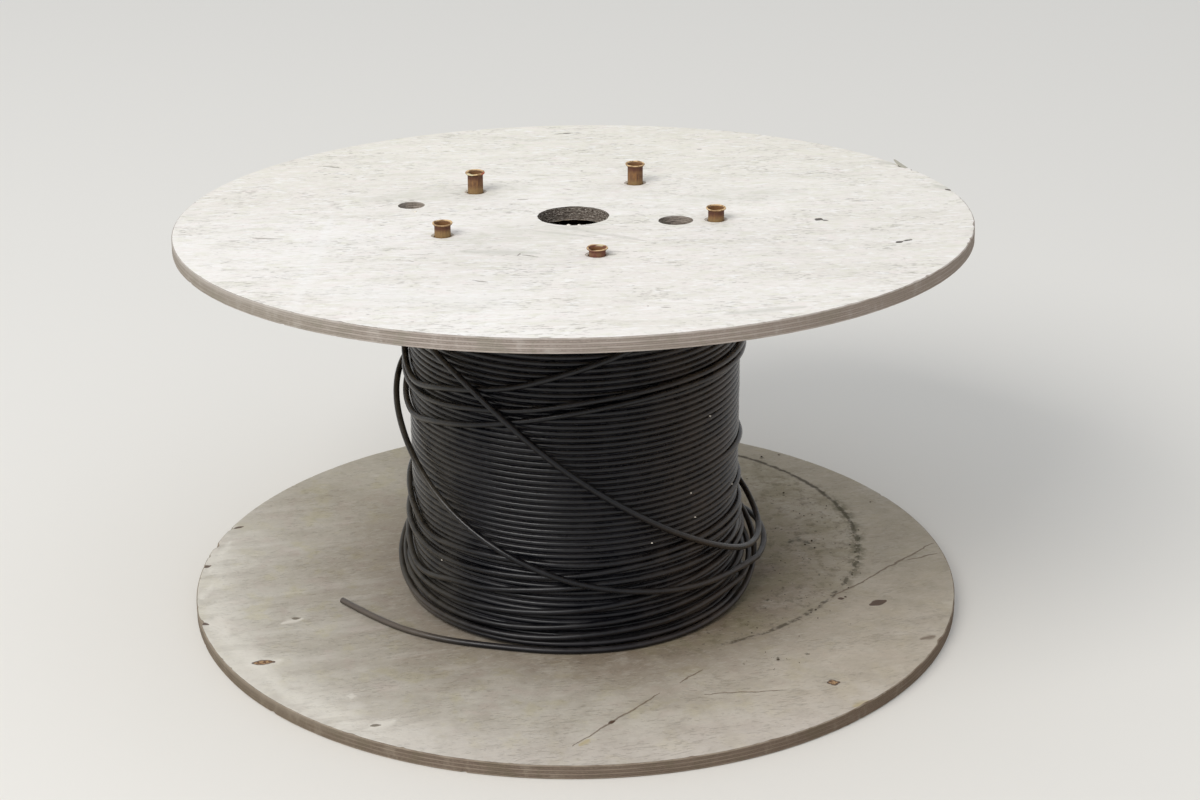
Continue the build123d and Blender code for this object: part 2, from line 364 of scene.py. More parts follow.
foot_turns = [
    [(-290, 158, 0), (-240, 160, 0), (-200, 156, 0), (-175, 147, 0), (-162, 134, 0.6), (-152, 122, 0.4),
     (-135, 120, 0), (-111, 123, 0), (-90, 121, 0), (-60, 124, 0), (-30, 128, 0), (10, 130, 0)],
    [(-280, 118, 0), (-230, 121, 0), (-190, 116, 0), (-170, 108, 0.4), (-159, 103, 0.4), (-146, 100, 0),
     (-130, 101, 0), (-110, 104, 0), (-94, 107, 0), (-82, 111, 0), (-68, 115, 0), (-53, 117, 0), (-30, 117, 0),
     (10, 118, 0)],
    [(-270, 98, 0), (-220, 95, 0), (-185, 88, 0.4), (-170, 79, 1.0), (-159, 68, 1.4), (-150, 67, 0.8),
     (-135, 77, 0), (-122, 81, 0), (-107, 88, 0), (-94, 93, 0), (-82, 97, 0), (-60, 99, 0), (-30, 99, 0),
     (0, 98, 0)],
    [(-265, 84, 0), (-220, 82, 0), (-190, 72, 2.0), (-180, 63.5, 3.2), (-168, 53, 3.8), (-156, 45.4, 3.2),
     (-144, 41, 2.2), (-132, 39.4, 1.2), (-108, 42, 0.2), (-94, 46, 0), (-82, 49, 0), (-68, 52, 0), (-44, 56, 0),
     (-10, 58, 0), (30, 56, 0)],
    [(-250, 23.6, 0), (-200, 24, 0.6), (-160, 23.6, 1.2), (-120, 23.6, 0.6), (-80, 26, 0.4), (-50, 26.6, 0.2),
     (-20, 26.4, 0.6), (20, 26, 0)],
    [(-200, 66, 0), (-150, 55, 0.4), (-120, 58, 0), (-90, 66, 0), (-60, 76, 0), (-30, 84, 0), (10, 86, 0),
     (50, 84, 0)],
]
carried_on = [
    loosened([(338, 48, 10.3), (350, 51, 9.0), (365, 56, 7.0), (385, 62, 4.6), (410, 68, 2.4), (440, 72, 0.8),
              (470, 74, 0), (520, 76, 0)], dive_start=False),
    loosened([(349, 56, 19.5), (356, 54.6, 24.0), (362, 55.6, 27.6), (368, 57.6, 29.6), (374, 59.4, 29.6),
              (381, 60, 27.6), (389, 59.6, 24.0), (402, 57.6, 17.0), (422, 54, 9.6), (450, 50, 3.6),
              (480, 47, 1.0), (520, 46, 0)], dive_start=False),
    loosened([(60, 428, 0), (90, 427, 0), (110, 424, 2.0), (130, 417.5, 5.6), (155, 405, 8.4)], dive_end=False),
]
loose_paths = [loosened(knots_and_notch_shade) for knots_and_notch_shade in top_turns + foot_turns] + carried_on
loose_turns = tube_piece("loosened_turns", loose_paths, cable_radius, 12)

# %% [markdown]
# ## Tie tubes
#
# Each tube is one profile turned about its own axis. The wall follows the tube up, rolls outwards into the
# flare and over the lip, and comes back down inside. Hammered steel is never quite round, so the rim wavers a
# little. The lower ends are flared the same way inside the lower disc.

# %% Tie tubes
tube_bottom, tube_top = 0.0004, 0.4830
wall_outside, wall_inside, flare = 0.0090, 0.0075, 0.0023
lip_centre, lip_depth, lip_thickness = 0.0107, 0.0010, 0.00095
points_round = 64
tube_names = ["tie_tube_right", "tie_tube_back_right", "tie_tube_back_left", "tie_tube_left", "tie_tube_front"]


def flared_profile():
    """Half outline of the tube about its middle, as (radius, distance from the end): the outer wall swings out
    along a power curve, the lip is just over half a circle, and the bore swings back the same way."""
    t = np.linspace(0, 1, 9)
    outer = np.stack([wall_outside + flare * t**2.6, 0.0064 - 0.0051 * t], axis=1)
    a = np.linspace(-0.3 * math.pi, 0.80 * math.pi, 10)
    lip = np.stack([lip_centre + lip_thickness * np.cos(a), lip_depth - lip_thickness * np.sin(a)], axis=1)
    inner = np.stack([wall_inside + flare * (1 - t) ** 2.2, lip_depth + 0.0060 * t], axis=1)
    return np.concatenate([outer, lip, inner])


def turned_tube(name, centre, seed, lumps, folded):
    """Lathe of the closed outline: both flared ends, joined by straight walls. Near the top end the radius and
    the height waver by slow random waves, and a bell-shaped fold pushes the inner lip inwards at one azimuth.
    The profile attribute keeps each point's distance from the tube's axis and from its top, for the rust."""
    half = flared_profile()
    upper = np.stack([half[:, 0], tube_top - half[:, 1]], axis=1)
    lower = np.stack([half[:, 0], tube_bottom + half[:, 1]], axis=1)[::-1]
    wall_heights = np.linspace(tube_top - 0.0080, 0.43, 6)
    inner_wall = np.stack([np.full(6, wall_inside), wall_heights], axis=1)
    outer_wall = np.stack([np.full(6, wall_outside), wall_heights], axis=1)[::-1]
    outline = np.concatenate([upper, inner_wall, lower, outer_wall])
    n = points_round
    a = np.linspace(0, 2 * math.pi, n, endpoint=False)[None, :]
    wave = smooth_noise((1, n), (0, 5), seed) * 0.00035 + smooth_noise((1, n), (0, 1.2), seed + 9) * 0.00012
    near_end = np.clip(1 - np.abs(outline[:, 1:2] - tube_top) / 0.006, 0, 1)
    inner_lip = near_end * np.clip((0.0112 - outline[:, :1]) / 0.0012, 0, 1) * (outline[:, 1:2] > tube_top - 0.0032)
    fold_azimuth, fold_depth, fold_width = folded
    fold = fold_depth * bell_curve(degrees_aside(np.degrees(a), fold_azimuth), fold_width)
    r = outline[:, :1] + (wave - 0.0002) * near_end - fold * inner_lip
    sunk = near_end * (lumps + lumps * smooth_noise((1, n), (0, 2.6), seed + 4))
    z = outline[:, 1:2] - sunk - 0.25 * fold * inner_lip
    points = np.stack([centre[0] + r * np.cos(a), centre[1] + r * np.sin(a), z + 0 * a], axis=-1).reshape(-1, 3)
    faces = grid_faces(len(outline), n, close_rows=True, close_columns=True)
    piece = make_piece(name.replace("tie_tube", "flared_tube"), points, [faces], sharp_angle=50)
    profile = np.stack([r + 0 * a, tube_top - z + 0 * a, 0 * r + a], axis=-1)
    piece.data.attributes.new("profile", "FLOAT_VECTOR", "POINT").data.foreach_set("vector", profile.ravel())
    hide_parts(name)
    return piece


# Height of the lumps in the rim, and the fold of its inner lip as azimuth, depth and width in degrees.
tube_shapes = [(0.00035, (80, 0.0006, 50)), (0.00045, (250, 0.0005, 40)), (0.00055, (222, 0.0042, 62)),
               (0.00035, (60, 0.0004, 50)), (0.00075, (200, 0.0010, 40))]
tube_pieces = []
for number, (tube_name, (lumps, folded)) in enumerate(zip(tube_names, tube_shapes)):
    low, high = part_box(tube_name)
    centre = ((low.x + high.x) / 2, (low.y + high.y) / 2)
    tube_pieces.append(turned_tube(tube_name, centre, 40 + number, lumps, folded))
    print("it stands at", [round(value, 3) for value in centre])

# %% [markdown]
# ## Plywood discs
#
# A disc of plywood is flat where it is flat, so its faces need few triangles, but its edge is where the wood
# shows its age: seven plies worn back unevenly, and splinters broken out of the rim. So the rim is a fine grid
# of rings, the walls of the holes are coarser grids, and the flat faces between them are cut into triangles
# by a constrained triangulation, which keeps every hole's outline.
#
# All of it is worked out flat, in the disc's own axes, and then set in place. The flat place of every point is
# kept as an attribute called board, so that the grain and the marks lie askew with the wood.

# %% Plywood discs
disc_radius, disc_thickness, plies = 0.450, 0.016, 7
upper_middle, lower_middle = 0.457, 0.008
tube_circle = 0.162
face = disc_thickness / 2


def disc_axes(tilt, high_side):
    """Columns right, back and up of a disc whose high side lies at an azimuth, both in degrees: up is square to
    the plane z = x tan(tilt) cos(high) + y tan(tilt) sin(high)."""
    slope = math.tan(math.radians(tilt))
    slope_x, slope_y = slope * math.cos(math.radians(high_side)), slope * math.sin(math.radians(high_side))
    upward = np.array([-slope_x, -slope_y, 1.0])
    across = np.array([1.0, 0.0, slope_x])
    upward /= np.linalg.norm(upward)
    across /= np.linalg.norm(across)
    return np.stack([across, np.cross(upward, across), upward], axis=1)


def ring(centre, radii, height, n):
    """n points round a centre: (x + r cos a, y + r sin a, height)."""
    a = np.linspace(0, 2 * math.pi, n, endpoint=False)
    return np.stack([centre[0] + radii * np.cos(a), centre[1] + radii * np.sin(a), height + 0 * a], axis=-1)


# %% [markdown]
# ### The rim
#
# A rim is a grid: rings one below the other, each bent in and out by noise. Seven of the noises belong to the
# seven plies, so that hard plies stand out from soft ones.

# %% The rim
rim_points, rim_rows = 1800, 22
inner_rings = (0.430, 0.440)
chip_reach = 0.0045


def worn_rim(seed, notches):
    """Rings of the rim from the upper face round to the lower one. Each ply is worn back by its own slow noise,
    the arrises lose chips where a faster noise is high, and notches are bell-shaped bites at given azimuths."""
    n, rows = rim_points, rim_rows
    a = np.linspace(0, 360, n, endpoint=False)
    heights = np.linspace(face - 0.0008, -face + 0.0008, rows)
    ply = np.clip(((face - heights) / disc_thickness * plies).astype(int), 0, plies - 1)
    own = smooth_noise((plies, n), (0, 9), seed) * 0.00018 + smooth_noise((plies, n), (0, 1.3), seed + 1) * 0.00010
    worn = 0.00040 + own[ply]
    seam = np.abs((face - heights) / disc_thickness * plies % 1 - 0.5) > 0.36
    worn = worn + 0.00006 * seam[:, None]
    fast = smooth_noise((2, n), (0, 1.6), seed + 2)
    chips = np.clip(fast - 0.42, 0, None) * 0.0042
    for azimuth, depth, width, side in notches:
        chips[side] = np.maximum(chips[side], depth * bell_curve(degrees_aside(a, azimuth), width))
    top_reach = np.clip(1 - (face - heights) / chip_reach, 0, 1)[:, None]
    low_reach = np.clip(1 - (face + heights) / chip_reach, 0, 1)[:, None]
    worn = np.maximum(worn, chips[0] * top_reach + 0.0002) + chips[1] * low_reach
    radii = [*inner_rings, disc_radius - 0.0030 - chips[0] * 0.5,
             disc_radius - 0.0012 - chips[0] - 0.0003 * (1 + fast[0]), *(disc_radius - worn),
             disc_radius - 0.0012 - chips[1], *inner_rings[::-1]]
    levels = [face] * 4 + [*heights] + [-face] * 3
    return np.stack([ring((0, 0), r, level, n) for r, level in zip(radii, levels)])


# %% [markdown]
# ### The holes
#
# A hole is a short tube of rings whose profile says how wide it is at each height: plain where a drill went
# through, and stepped where a tube sits.

# %% The holes
def hole_wall(centre, profile, n, rough, seed):
    """Rings of a hole from its mouth on the upper face down. The profile gives (radius, height), and the wall is
    rough by a noise that differs from ply to ply."""
    grain = smooth_noise((len(profile), n), (0.6, 1.2), seed) * rough + smooth_noise((1, n), (0, 6), seed + 1) * rough
    own = smooth_noise((plies, n), (0, 2.5), seed + 2) * rough
    ply = [min(plies - 1, int((face - height) / disc_thickness * plies)) for _, height in profile]
    return np.stack([ring(centre, radius + 1.5 * rough + grain[k] + own[ply[k]], height, n)
                     for k, (radius, height) in enumerate(profile)])


def through(radius, rows=15):
    """Profile of a plain drilled hole."""
    return [(radius, height) for height in np.linspace(face, -face, rows)]


def silted(wide, narrow):
    """Profile of a tube's hole in the upper disc: its counterbore has silted up to a shallow dish."""
    return [(wide, face), (wide - 0.0006, face - 0.0001), (wide - 0.0020, face - 0.0004),
            (narrow + 0.0002, face - 0.0008), (narrow, -0.003), (narrow, -face)]


def counterbored(wide, narrow, depth):
    """Profile of a tube's hole in the lower disc, with its wide part open downwards."""
    high = depth - face
    return [(narrow, face), (narrow, 0.003), (narrow, high), (wide - 0.0002, high), (wide, high - depth / 2),
            (wide, -face)]


# %% [markdown]
# ### The whole disc
#
# Rim, hole walls and both faces are gathered into one mesh. Each face of the mesh gets the number of its
# finish: 1 for the cut edges, and 0 and 2 for the two sides. The first three rings of the rim's faces and its
# last two lie flat, so they are finished as the sides are.

# %% The whole disc
def triangulated_face(outer, mouths, height):
    """Triangles of a flat face between its outer ring and the mouths of its holes: a Delaunay triangulation
    held to those outlines, less the triangles whose middle lies in a hole."""
    loops = [outer] + mouths
    flat = np.concatenate([loop[:, :2] for loop in loops])
    edges, count = [], 0
    for loop in loops:
        k = np.arange(len(loop))
        edges.append(np.stack([k, (k + 1) % len(loop)], axis=1) + count)
        count += len(loop)
    found = delaunay_2d_cdt([tuple(p) for p in flat.tolist()], np.concatenate(edges).tolist(), [], 0, 1e-9)
    points = np.array([tuple(p) for p in found[0]])
    triangles = np.array([tuple(t) for t in found[2]])
    middles = points[triangles].mean(axis=1)
    keep = np.ones(len(triangles), bool)
    for mouth in mouths:
        centre = mouth[:, :2].mean(axis=0)
        keep &= np.linalg.norm(middles - centre, axis=1) > np.linalg.norm(mouth[:, :2] - centre, axis=1).mean() * 0.985
    return np.c_[points, np.full(len(points), height)], triangles[keep]


def merge_doubles(mesh):
    """Joins the points where the rim, the walls and the faces meet."""
    work = bmesh.new()
    work.from_mesh(mesh)
    bmesh.ops.remove_doubles(work, verts=work.verts, dist=2e-6)
    work.to_mesh(mesh)
    work.free()
    mesh.set_sharp_from_angle(angle=math.radians(38))


def plywood_disc(name, node, middle_height, axes, holes, notches, seed, outer_side):
    """A whole disc: worn rim, hole walls and two faces, merged, then set in place by its axes."""
    points, groups, slots, count = [], [], [], 0

    def take(grid_or_points, faces, slot):
        nonlocal count
        points.append(grid_or_points.reshape(-1, 3))
        groups.append(faces + count)
        slots.append(slot)
        count += len(points[-1])

    rim = worn_rim(seed, notches)
    rim_faces = grid_faces(len(rim), rim.shape[1], close_columns=True)[:, ::-1]
    flat_faces = rim_points * 3
    upper_slot, lower_slot = (0, 2) if outer_side > 0 else (2, 0)
    take(rim, rim_faces, 1)
    walls = [hole_wall(*hole, seed + 20 + k) for k, hole in enumerate(holes)]
    for wall in walls:
        take(wall, grid_faces(len(wall), wall.shape[1], close_columns=True), 1)
    for height, row, slot in ((face, 0, upper_slot), (-face, -1, lower_slot)):
        flat, triangles = triangulated_face(rim[row], [wall[row] for wall in walls], height)
        take(flat, triangles if height > 0 else triangles[:, ::-1], slot)
    local = np.concatenate(points)
    placed = local @ axes.T + [0, 0, middle_height]
    piece = make_piece(name, placed, groups, slots, sharp_angle=38)
    mesh = piece.data
    numbers = np.zeros(len(mesh.polygons), np.int32)
    mesh.polygons.foreach_get("material_index", numbers)
    numbers[:flat_faces] = upper_slot
    numbers[len(rim_faces) - flat_faces + rim_points:len(rim_faces)] = lower_slot
    mesh.polygons.foreach_set("material_index", numbers)
    board = mesh.attributes.new("board", "FLOAT_VECTOR", "POINT")
    board.data.foreach_set("vector", local.ravel())
    merge_doubles(mesh)
    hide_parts(node)
    return piece


def polar(radius, azimuth):
    """(r cos a, r sin a), with a in degrees."""
    return (radius * math.cos(math.radians(azimuth)), radius * math.sin(math.radians(azimuth)))


tube_places = [polar(tube_circle, -9 + 72 * k) for k in range(5)]
bore, bore_place = 0.0400, (0.0, 0.0)
drive_hole, drive_place = 0.0190, polar(0.118, -13)
start_hole, start_place = 0.0150, polar(0.195, 163)
# Holes as (centre, profile, points round it, roughness).
upper_holes = [(bore_place, through(bore, 34), 300, 0.00075), (drive_place, through(drive_hole, 22), 140, 0.00040),
               (start_place, through(start_hole, 22), 120, 0.00040)]
upper_holes += [(place, silted(0.0130, 0.0096), 72, 0.00005) for place in tube_places]
lower_holes = [(bore_place, through(bore), 160, 0.00040), (drive_place, through(drive_hole), 100, 0.00030)]
lower_holes += [(place, counterbored(0.0140, 0.0100, 0.005), 72, 0.00012) for place in tube_places]
# Notches as (azimuth, depth, width in degrees, 0 for the upper arris or 1 for the lower).
upper_notches = [(24.3, 0.0035, 0.5, 0), (11.0, 0.0030, 0.4, 0), (31.0, 0.0020, 1.6, 0), (-8, 0.0016, 1.0, 0),
                 (-38.5, 0.0016, 0.7, 0), (-52, 0.0012, 0.9, 0), (-121, 0.0018, 0.6, 0), (205, 0.0012, 0.5, 1)]
lower_notches = [(169.4, 0.0040, 0.8, 0), (195.5, 0.0032, 0.7, 0), (163, 0.0018, 0.5, 0), (-23.5, 0.0022, 0.9, 0),
                 (-122, 0.0014, 0.6, 0), (-46, 0.0016, 1.2, 0), (-63, 0.0012, 0.8, 0)]
upper_axes, level_axes = disc_axes(3.0, -79.0), np.eye(3)
upper_disc = plywood_disc("upper_disc", "flange_top", upper_middle, upper_axes, upper_holes, upper_notches, 100, 1)
lower_disc = plywood_disc("lower_disc", "flange_bottom", lower_middle, level_axes, lower_holes, lower_notches, 200, -1)

# %% [markdown]
# ## Crumbs, chips and a splinter
#
# Small loose things give the eye a scale: crumbs of dirt on the lower disc, pale chips of wood on the cable and
# in the bore, the ragged core at the cable's cut end, and a splinter that has lifted at the back of the upper
# rim. Every crumb is the same ball of twenty triangles, squashed, dented and turned in its own way, and all
# crumbs of one kind are one mesh.

# %% Crumbs, chips and a splinter
ball = bmesh.new()
bmesh.ops.create_icosphere(ball, subdivisions=1, radius=1.0)
ball_corners = np.array([tuple(corner.co) for corner in ball.verts])
ball_triangles = np.array([[corner.index for corner in triangle.verts] for triangle in ball.faces])
ball.free()


def crumbs(name, places, sizes, seed):
    """Balls squashed to their sizes (n, 3) and set at their places (n, 3), both in metres. Each corner is pushed
    in by up to a third, and each ball is turned about the vertical by a random angle."""
    chance = np.random.default_rng(seed)
    places, sizes = np.asarray(places, float), np.asarray(sizes, float)
    dents = chance.uniform(0.67, 1.0, (len(places), len(ball_corners), 1))
    corners = ball_corners[None] * dents * sizes[:, None, :] / 2
    a = chance.uniform(0, 2 * math.pi, (len(places), 1))
    x, y = corners[..., 0], corners[..., 1]
    balls = np.stack([x * np.cos(a) - y * np.sin(a), x * np.sin(a) + y * np.cos(a), corners[..., 2]], axis=-1)
    triangles = ball_triangles[None] + np.arange(len(places))[:, None, None] * len(ball_corners)
    piece = make_piece(name, (balls + places[:, None, :]).reshape(-1, 3), [triangles.reshape(-1, 3)], sharp_angle=20)
    return piece


# Crumbs on the lower disc as (x, y, size) in millimetres, first the larger ones and then a random scatter.
larger_crumbs = [
    (247, 343, 4.5), (270, 349, 3), (267, 227, 5), (375, 197, 3), (290, 84, 5), (281, 73, 4), (292, 64, 4),
    (318, 186, 3), (302, 139, 2.5), (282, 163, 3), (287, 157, 3), (275, 172, 2.5), (225, -223, 5), (261, -210, 2),
    (223, 272, 2.5), (336, 72, 3), (351, 114, 3.5), (350, 91, 3), (340, 52, 3), (341, 24, 3.5), (330, -11, 3),
    (322, -45, 3), (316, -69, 4), (278, -102, 4), (283, -92, 3), (272, -109, 3), (207, -146, 3), (200, -158, 3)]
chance, scatter_count = np.random.default_rng(5), 52
scatter_turn = chance.uniform(-50, 62, scatter_count)
scatter_radius = chance.uniform(0.232, 0.345, scatter_count)
scattered = [(1000 * r * math.cos(math.radians(a)), 1000 * r * math.sin(math.radians(a)), size)
             for r, a, size in zip(scatter_radius, scatter_turn, chance.uniform(1.2, 2.6, scatter_count))]
crumb_rows = np.array(larger_crumbs + scattered) / 1000
crumb_places = np.c_[crumb_rows[:, :2], disc_thickness + 0.12 * crumb_rows[:, 2]]
dirt_crumbs = crumbs("dirt_crumbs", crumb_places, crumb_rows[:, 2:3] * [1.0, 0.7, 0.45], 6)

# Pale chips in millimetres: on the cable as (x, y, z), all of one size, and on the upper disc by the start hole
# and in the near side of the bore as (x, y, z, size) in the disc's own axes.
cable_chips = [(134.8, -136.2, 152.1), (180.8, -63.4, 159.8), (85.2, -172.0, 137.2), (-157.6, -111.9, 94.0),
               (-153.8, -116.8, 100.2), (-150.2, -121.4, 97.4), (-152.8, -118.5, 92.1), (151.1, -117.8, 267.7),
               (129.7, -141.0, 184.1)]
disc_chips = [(-180, 27, 8.4, 4.8), (-5.5, -38.2, 7.0, 6.0), (6.4, -38.4, 7.2, 5.0), (-13.5, -37.0, 6.6, 3.6),
              (15.0, -36.4, 7.0, 3.0), (-25.0, -30.6, 6.6, 3.0), (-184, 31, 8.2, 1.8)]
disc_rows = np.array(disc_chips) / 1000
on_disc = disc_rows[:, :3] @ upper_axes.T + [0, 0, upper_middle]
chip_places = np.concatenate([np.array(cable_chips) / 1000, on_disc])
chip_sizes = np.concatenate([np.full((len(cable_chips), 1), 0.0030), disc_rows[:, 3:4]]) * [1.0, 0.75, 0.70]
pale_chips = crumbs("pale_chips", chip_places, chip_sizes, 8)

end_direction = cut_end_points[1] - cut_end_points[0]
end_direction /= np.linalg.norm(end_direction)
core_places = [cut_end_points[0] - 0.0002 * end_direction + [0, 0, rise] for rise in (0.0004, -0.0008, 0.0012)]
core_sizes = [(0.0042, 0.0040, 0.0034), (0.0036, 0.0030, 0.0024), (0.0028, 0.0030, 0.0022)]
cable_core = crumbs("cable_core", core_places, core_sizes, 9)


def splinter(name, azimuths, radii, lifts, half_widths):
    """A sliver of the top ply, as rings of four points: level beside its path, thin in height, and tapering. The
    path follows the rim in the disc's own axes and rises from the face by the lifts."""
    middle = round_the_axis(azimuths, radii, face + np.array(lifts))
    outward = round_the_axis(azimuths, np.ones(len(azimuths)), 0.0)
    half_widths = np.array(half_widths)[:, None]
    thin = np.array([0, 0, 0.0006]) * np.linspace(1.0, 0.5, len(azimuths))[:, None]
    rings = np.stack([middle + outward * half_widths - thin, middle + outward * half_widths + thin,
                      middle - outward * half_widths + thin, middle - outward * half_widths - thin], axis=1)
    points = rings.reshape(-1, 3) @ upper_axes.T + [0, 0, upper_middle]
    last = len(points)
    ends = np.array([[3, 2, 1, 0], [last - 4, last - 3, last - 2, last - 1]])
    piece = make_piece(name, points, [grid_faces(len(rings), 4, close_columns=True), ends], sharp_angle=30)
    return piece


lifted_splinter = splinter("rim_splinter", (25.8, 26.5, 27.2, 27.9, 28.5, 29.0),
                           (0.4462, 0.4460, 0.4457, 0.4454, 0.4452, 0.4452),
                           (-0.0004, 0.0002, 0.0012, 0.0026, 0.0042, 0.0054),
                           (0.0022, 0.0026, 0.0028, 0.0026, 0.0020, 0.0010))

# %% [markdown]
# ## Tools for materials
#
# All materials are made of nodes, with no pictures. Nearly every one is a base colour with thin layers of
# other colours over it, each held back by a mask, so the helpers are made for that. A signal is the output of
# a node, and adding or multiplying signals makes the Math nodes. Colours are written as they look on a
# screen, from 0 to 255, and made linear here, because the shader works with linear light.

# %% Tools for materials
def shade(red, green, blue):
    """Linear colour from a screen colour: ((c + 0.055) / 1.055) ** 2.4 for c above 0.04."""
    c = np.array([red, green, blue]) / 255
    linear = np.where(c > 0.04045, ((c + 0.055) / 1.055) ** 2.4, c / 12.92)
    return (*linear.tolist(), 1.0)


def add(tree, kind, inputs=None, **settings):
    """Adds a node. Settings are its options, and each input is a value or the signal it is joined to."""
    node = tree.nodes.new(kind)
    place = len(tree.nodes) - 1
    node.location = (200 * (place % 12), -300 * (place // 12))
    for key, value in settings.items():
        setattr(node, key, value)
    for key, value in (inputs or {}).items():
        if isinstance(value, Signal):
            tree.links.new(value.socket, node.inputs[key])
        else:
            node.inputs[key].default_value = value
    return node


class Signal:
    """A value that varies over a surface: the output socket of a node. Reckoning with it adds Math nodes to the
    same tree, or Vector Math nodes where the signal is a vector."""

    def __init__(self, socket):
        self.socket, self.tree = socket, socket.id_data

    def maths(self, operation, *others, clamp=False):
        values = dict(enumerate((self, *others)))
        if self.socket.type == "VECTOR":
            node = add(self.tree, "ShaderNodeVectorMath", values, operation=operation)
            return Signal(node.outputs["Value" if operation in ("DOT_PRODUCT", "LENGTH") else "Vector"])
        return Signal(add(self.tree, "ShaderNodeMath", values, operation=operation, use_clamp=clamp).outputs[0])

    def __add__(self, other):
        return self.maths("ADD", other)

    def __sub__(self, other):
        return self.maths("SUBTRACT", other)

    def __mul__(self, other):
        return self.maths("MULTIPLY", other)

    def __abs__(self):
        return self.maths("ABSOLUTE")

    def length(self):
        return self.maths("LENGTH")

    def split(self):
        """Signals x, y and z of a vector."""
        return [Signal(output) for output in add(self.tree, "ShaderNodeSeparateXYZ", {0: self}).outputs]


def source(tree, kind, output, inputs=None, **settings):
    """Signal from a new node whose inputs, if it has any, are plain values."""
    return Signal(add(tree, kind, inputs, **settings).outputs[output])


def made(kind, inputs, output=0, **settings):
    """Signal from a new node, in the tree of the first signal among its inputs."""
    tree = next(value.tree for value in inputs.values() if isinstance(value, Signal))
    return source(tree, kind, output, inputs, **settings)


def noise(vector, scale, detail=3.0, roughness=0.5, output=0):
    """Noise from 0 to 1, with its middle near 0.5."""
    inputs = {"Vector": vector, "Scale": scale, "Detail": detail, "Roughness": roughness}
    return made("ShaderNodeTexNoise", inputs, output)


def long_noise(vector, sizes, detail=3.0, roughness=0.5):
    """Noise whose grains have these sizes along x, y and z, in metres: the vector is divided by them."""
    return noise(vector * tuple(1.0 / size for size in sizes), 1.0, detail, roughness)


def between(value, low, high, to_low=0.0, to_high=1.0, step="SMOOTHSTEP"):
    """Smooth step of a value: to_low at low, to_high at high. Low may be the larger one."""
    return made("ShaderNodeMapRange", {"Value": value, "From Min": low, "From Max": high, "To Min": to_low,
                                       "To Max": to_high}, interpolation_type=step)


def larger(first, second):
    """The larger of two signals."""
    return first.maths("MAXIMUM", second)


def turned(vector, degrees):
    """Vector turned about the vertical."""
    return made("ShaderNodeMapping", {"Vector": vector, "Rotation": (0, 0, math.radians(degrees))})


def mixed(mask, first, second, blend="MIX"):
    """First colour where the mask is 0, second where it is 1."""
    return made("ShaderNodeMix", {0: mask, 6: first, 7: second}, 2, data_type="RGBA", blend_type=blend)


def layered(base, layers):
    """Base colour under layers, each (colour, mask, amount): every layer is mixed in by its mask times its amount.
    A colour is a signal, or red, green and blue from 0 to 255."""
    colour = base if isinstance(base, Signal) else shade(*base)
    for layer, mask, amount, *blend in layers:
        colour = mixed(mask * amount, colour, layer if isinstance(layer, Signal) else shade(*layer), *blend)
    return colour


def new_group(name, inputs, outputs):
    """An empty node group with named sockets, (name, kind, value) in and (name, kind) out, and its input signals."""
    group = bpy.data.node_groups.new(name, "ShaderNodeTree")
    for label, kind, value in inputs:
        socket = group.interface.new_socket(label, in_out="INPUT", socket_type="NodeSocket" + kind)
        if value is not None:
            socket.default_value = value
    for label, kind in outputs:
        group.interface.new_socket(label, in_out="OUTPUT", socket_type="NodeSocket" + kind)
    given = add(group, "NodeGroupInput").outputs
    return group, {label: Signal(given[label]) for label, kind, value in inputs}


def use_group(tree, group, inputs):
    """Places a group in a material and gives its output signals by name."""
    node = add(tree, "ShaderNodeGroup", inputs, node_tree=group)
    return {output.name: Signal(output) for output in node.outputs}


def new_material(name, **values):
    """A material with one Principled shader, whose constant values are set on its own sockets."""
    material = bpy.data.materials.new(name)
    material.use_nodes = True
    tree = material.node_tree
    shader = tree.nodes["Principled BSDF"]
    shader.location = (2700, 0)
    tree.nodes["Material Output"].location = (3000, 0)
    for key, value in values.items():
        shader.inputs[key.replace("_", " ")].default_value = value
    return material, tree


def finish(material, colour, height, distance, strength, roughness=None):
    """Joins the shader's Base Color, its Roughness if that varies, and its Normal through a Bump node, whose
    height is in parts of the distance."""
    nodes, links = material.node_tree.nodes, material.node_tree.links
    shader = nodes["Principled BSDF"]
    links.new(colour.socket, shader.inputs["Base Color"])
    if roughness is not None:
        links.new(roughness.socket, shader.inputs["Roughness"])
    bump = made("ShaderNodeBump", {"Height": height, "Distance": distance, "Strength": strength})
    links.new(bump.socket, shader.inputs["Normal"])
    print(material.name, "has", len(nodes), "nodes")


print("white is", shade(255, 255, 255)[:3])

# %% [markdown]
# ## Weathered grain
#
# Wood seen close up is a bundle of fibres, so its marks are long and narrow and run one way. All faces of the
# discs share one grain, turned a little on the lower one, so it is a group: it reads a place on the board
# with the grain along x, and gives a slow tone, the dark dashes of open pores, fine fibres, pale flakes of
# raised fibre, and a height for the bump. All of it is noise, squeezed across the grain. A slow wave bends
# the fibres first.

# %% Weathered grain
grain_group, given = new_group("Weathered grain", [("Board", "Vector", None), ("Dash Amount", "Float", 0.5)],
                               [(label, "Float") for label in ("Tone", "Dashes", "Fibres", "Flakes", "Height")])
wave = long_noise(given["Board"], (0.50, 0.16, 0.1), 2.0)
bent = given["Board"] + made("ShaderNodeCombineXYZ", {1: wave * 0.06 - 0.03})
broad = long_noise(bent, (0.30, 0.030, 0.1), 4.0, 0.6)
patches = long_noise(bent, (0.09, 0.040, 0.1), 3.0, 0.6)
fibres = long_noise(bent, (0.011, 0.0022, 0.02), 4.0, 0.72)
dash_noise = long_noise(bent, (0.0085, 0.0022, 0.02), 1.5)
flakes = between(long_noise(bent, (0.016, 0.0050, 0.02), 3.0, 0.6), 0.54, 0.66)
dash_edge = between(patches, 0.35, 0.65, 0.70, 0.58) - given["Dash Amount"] * 0.06
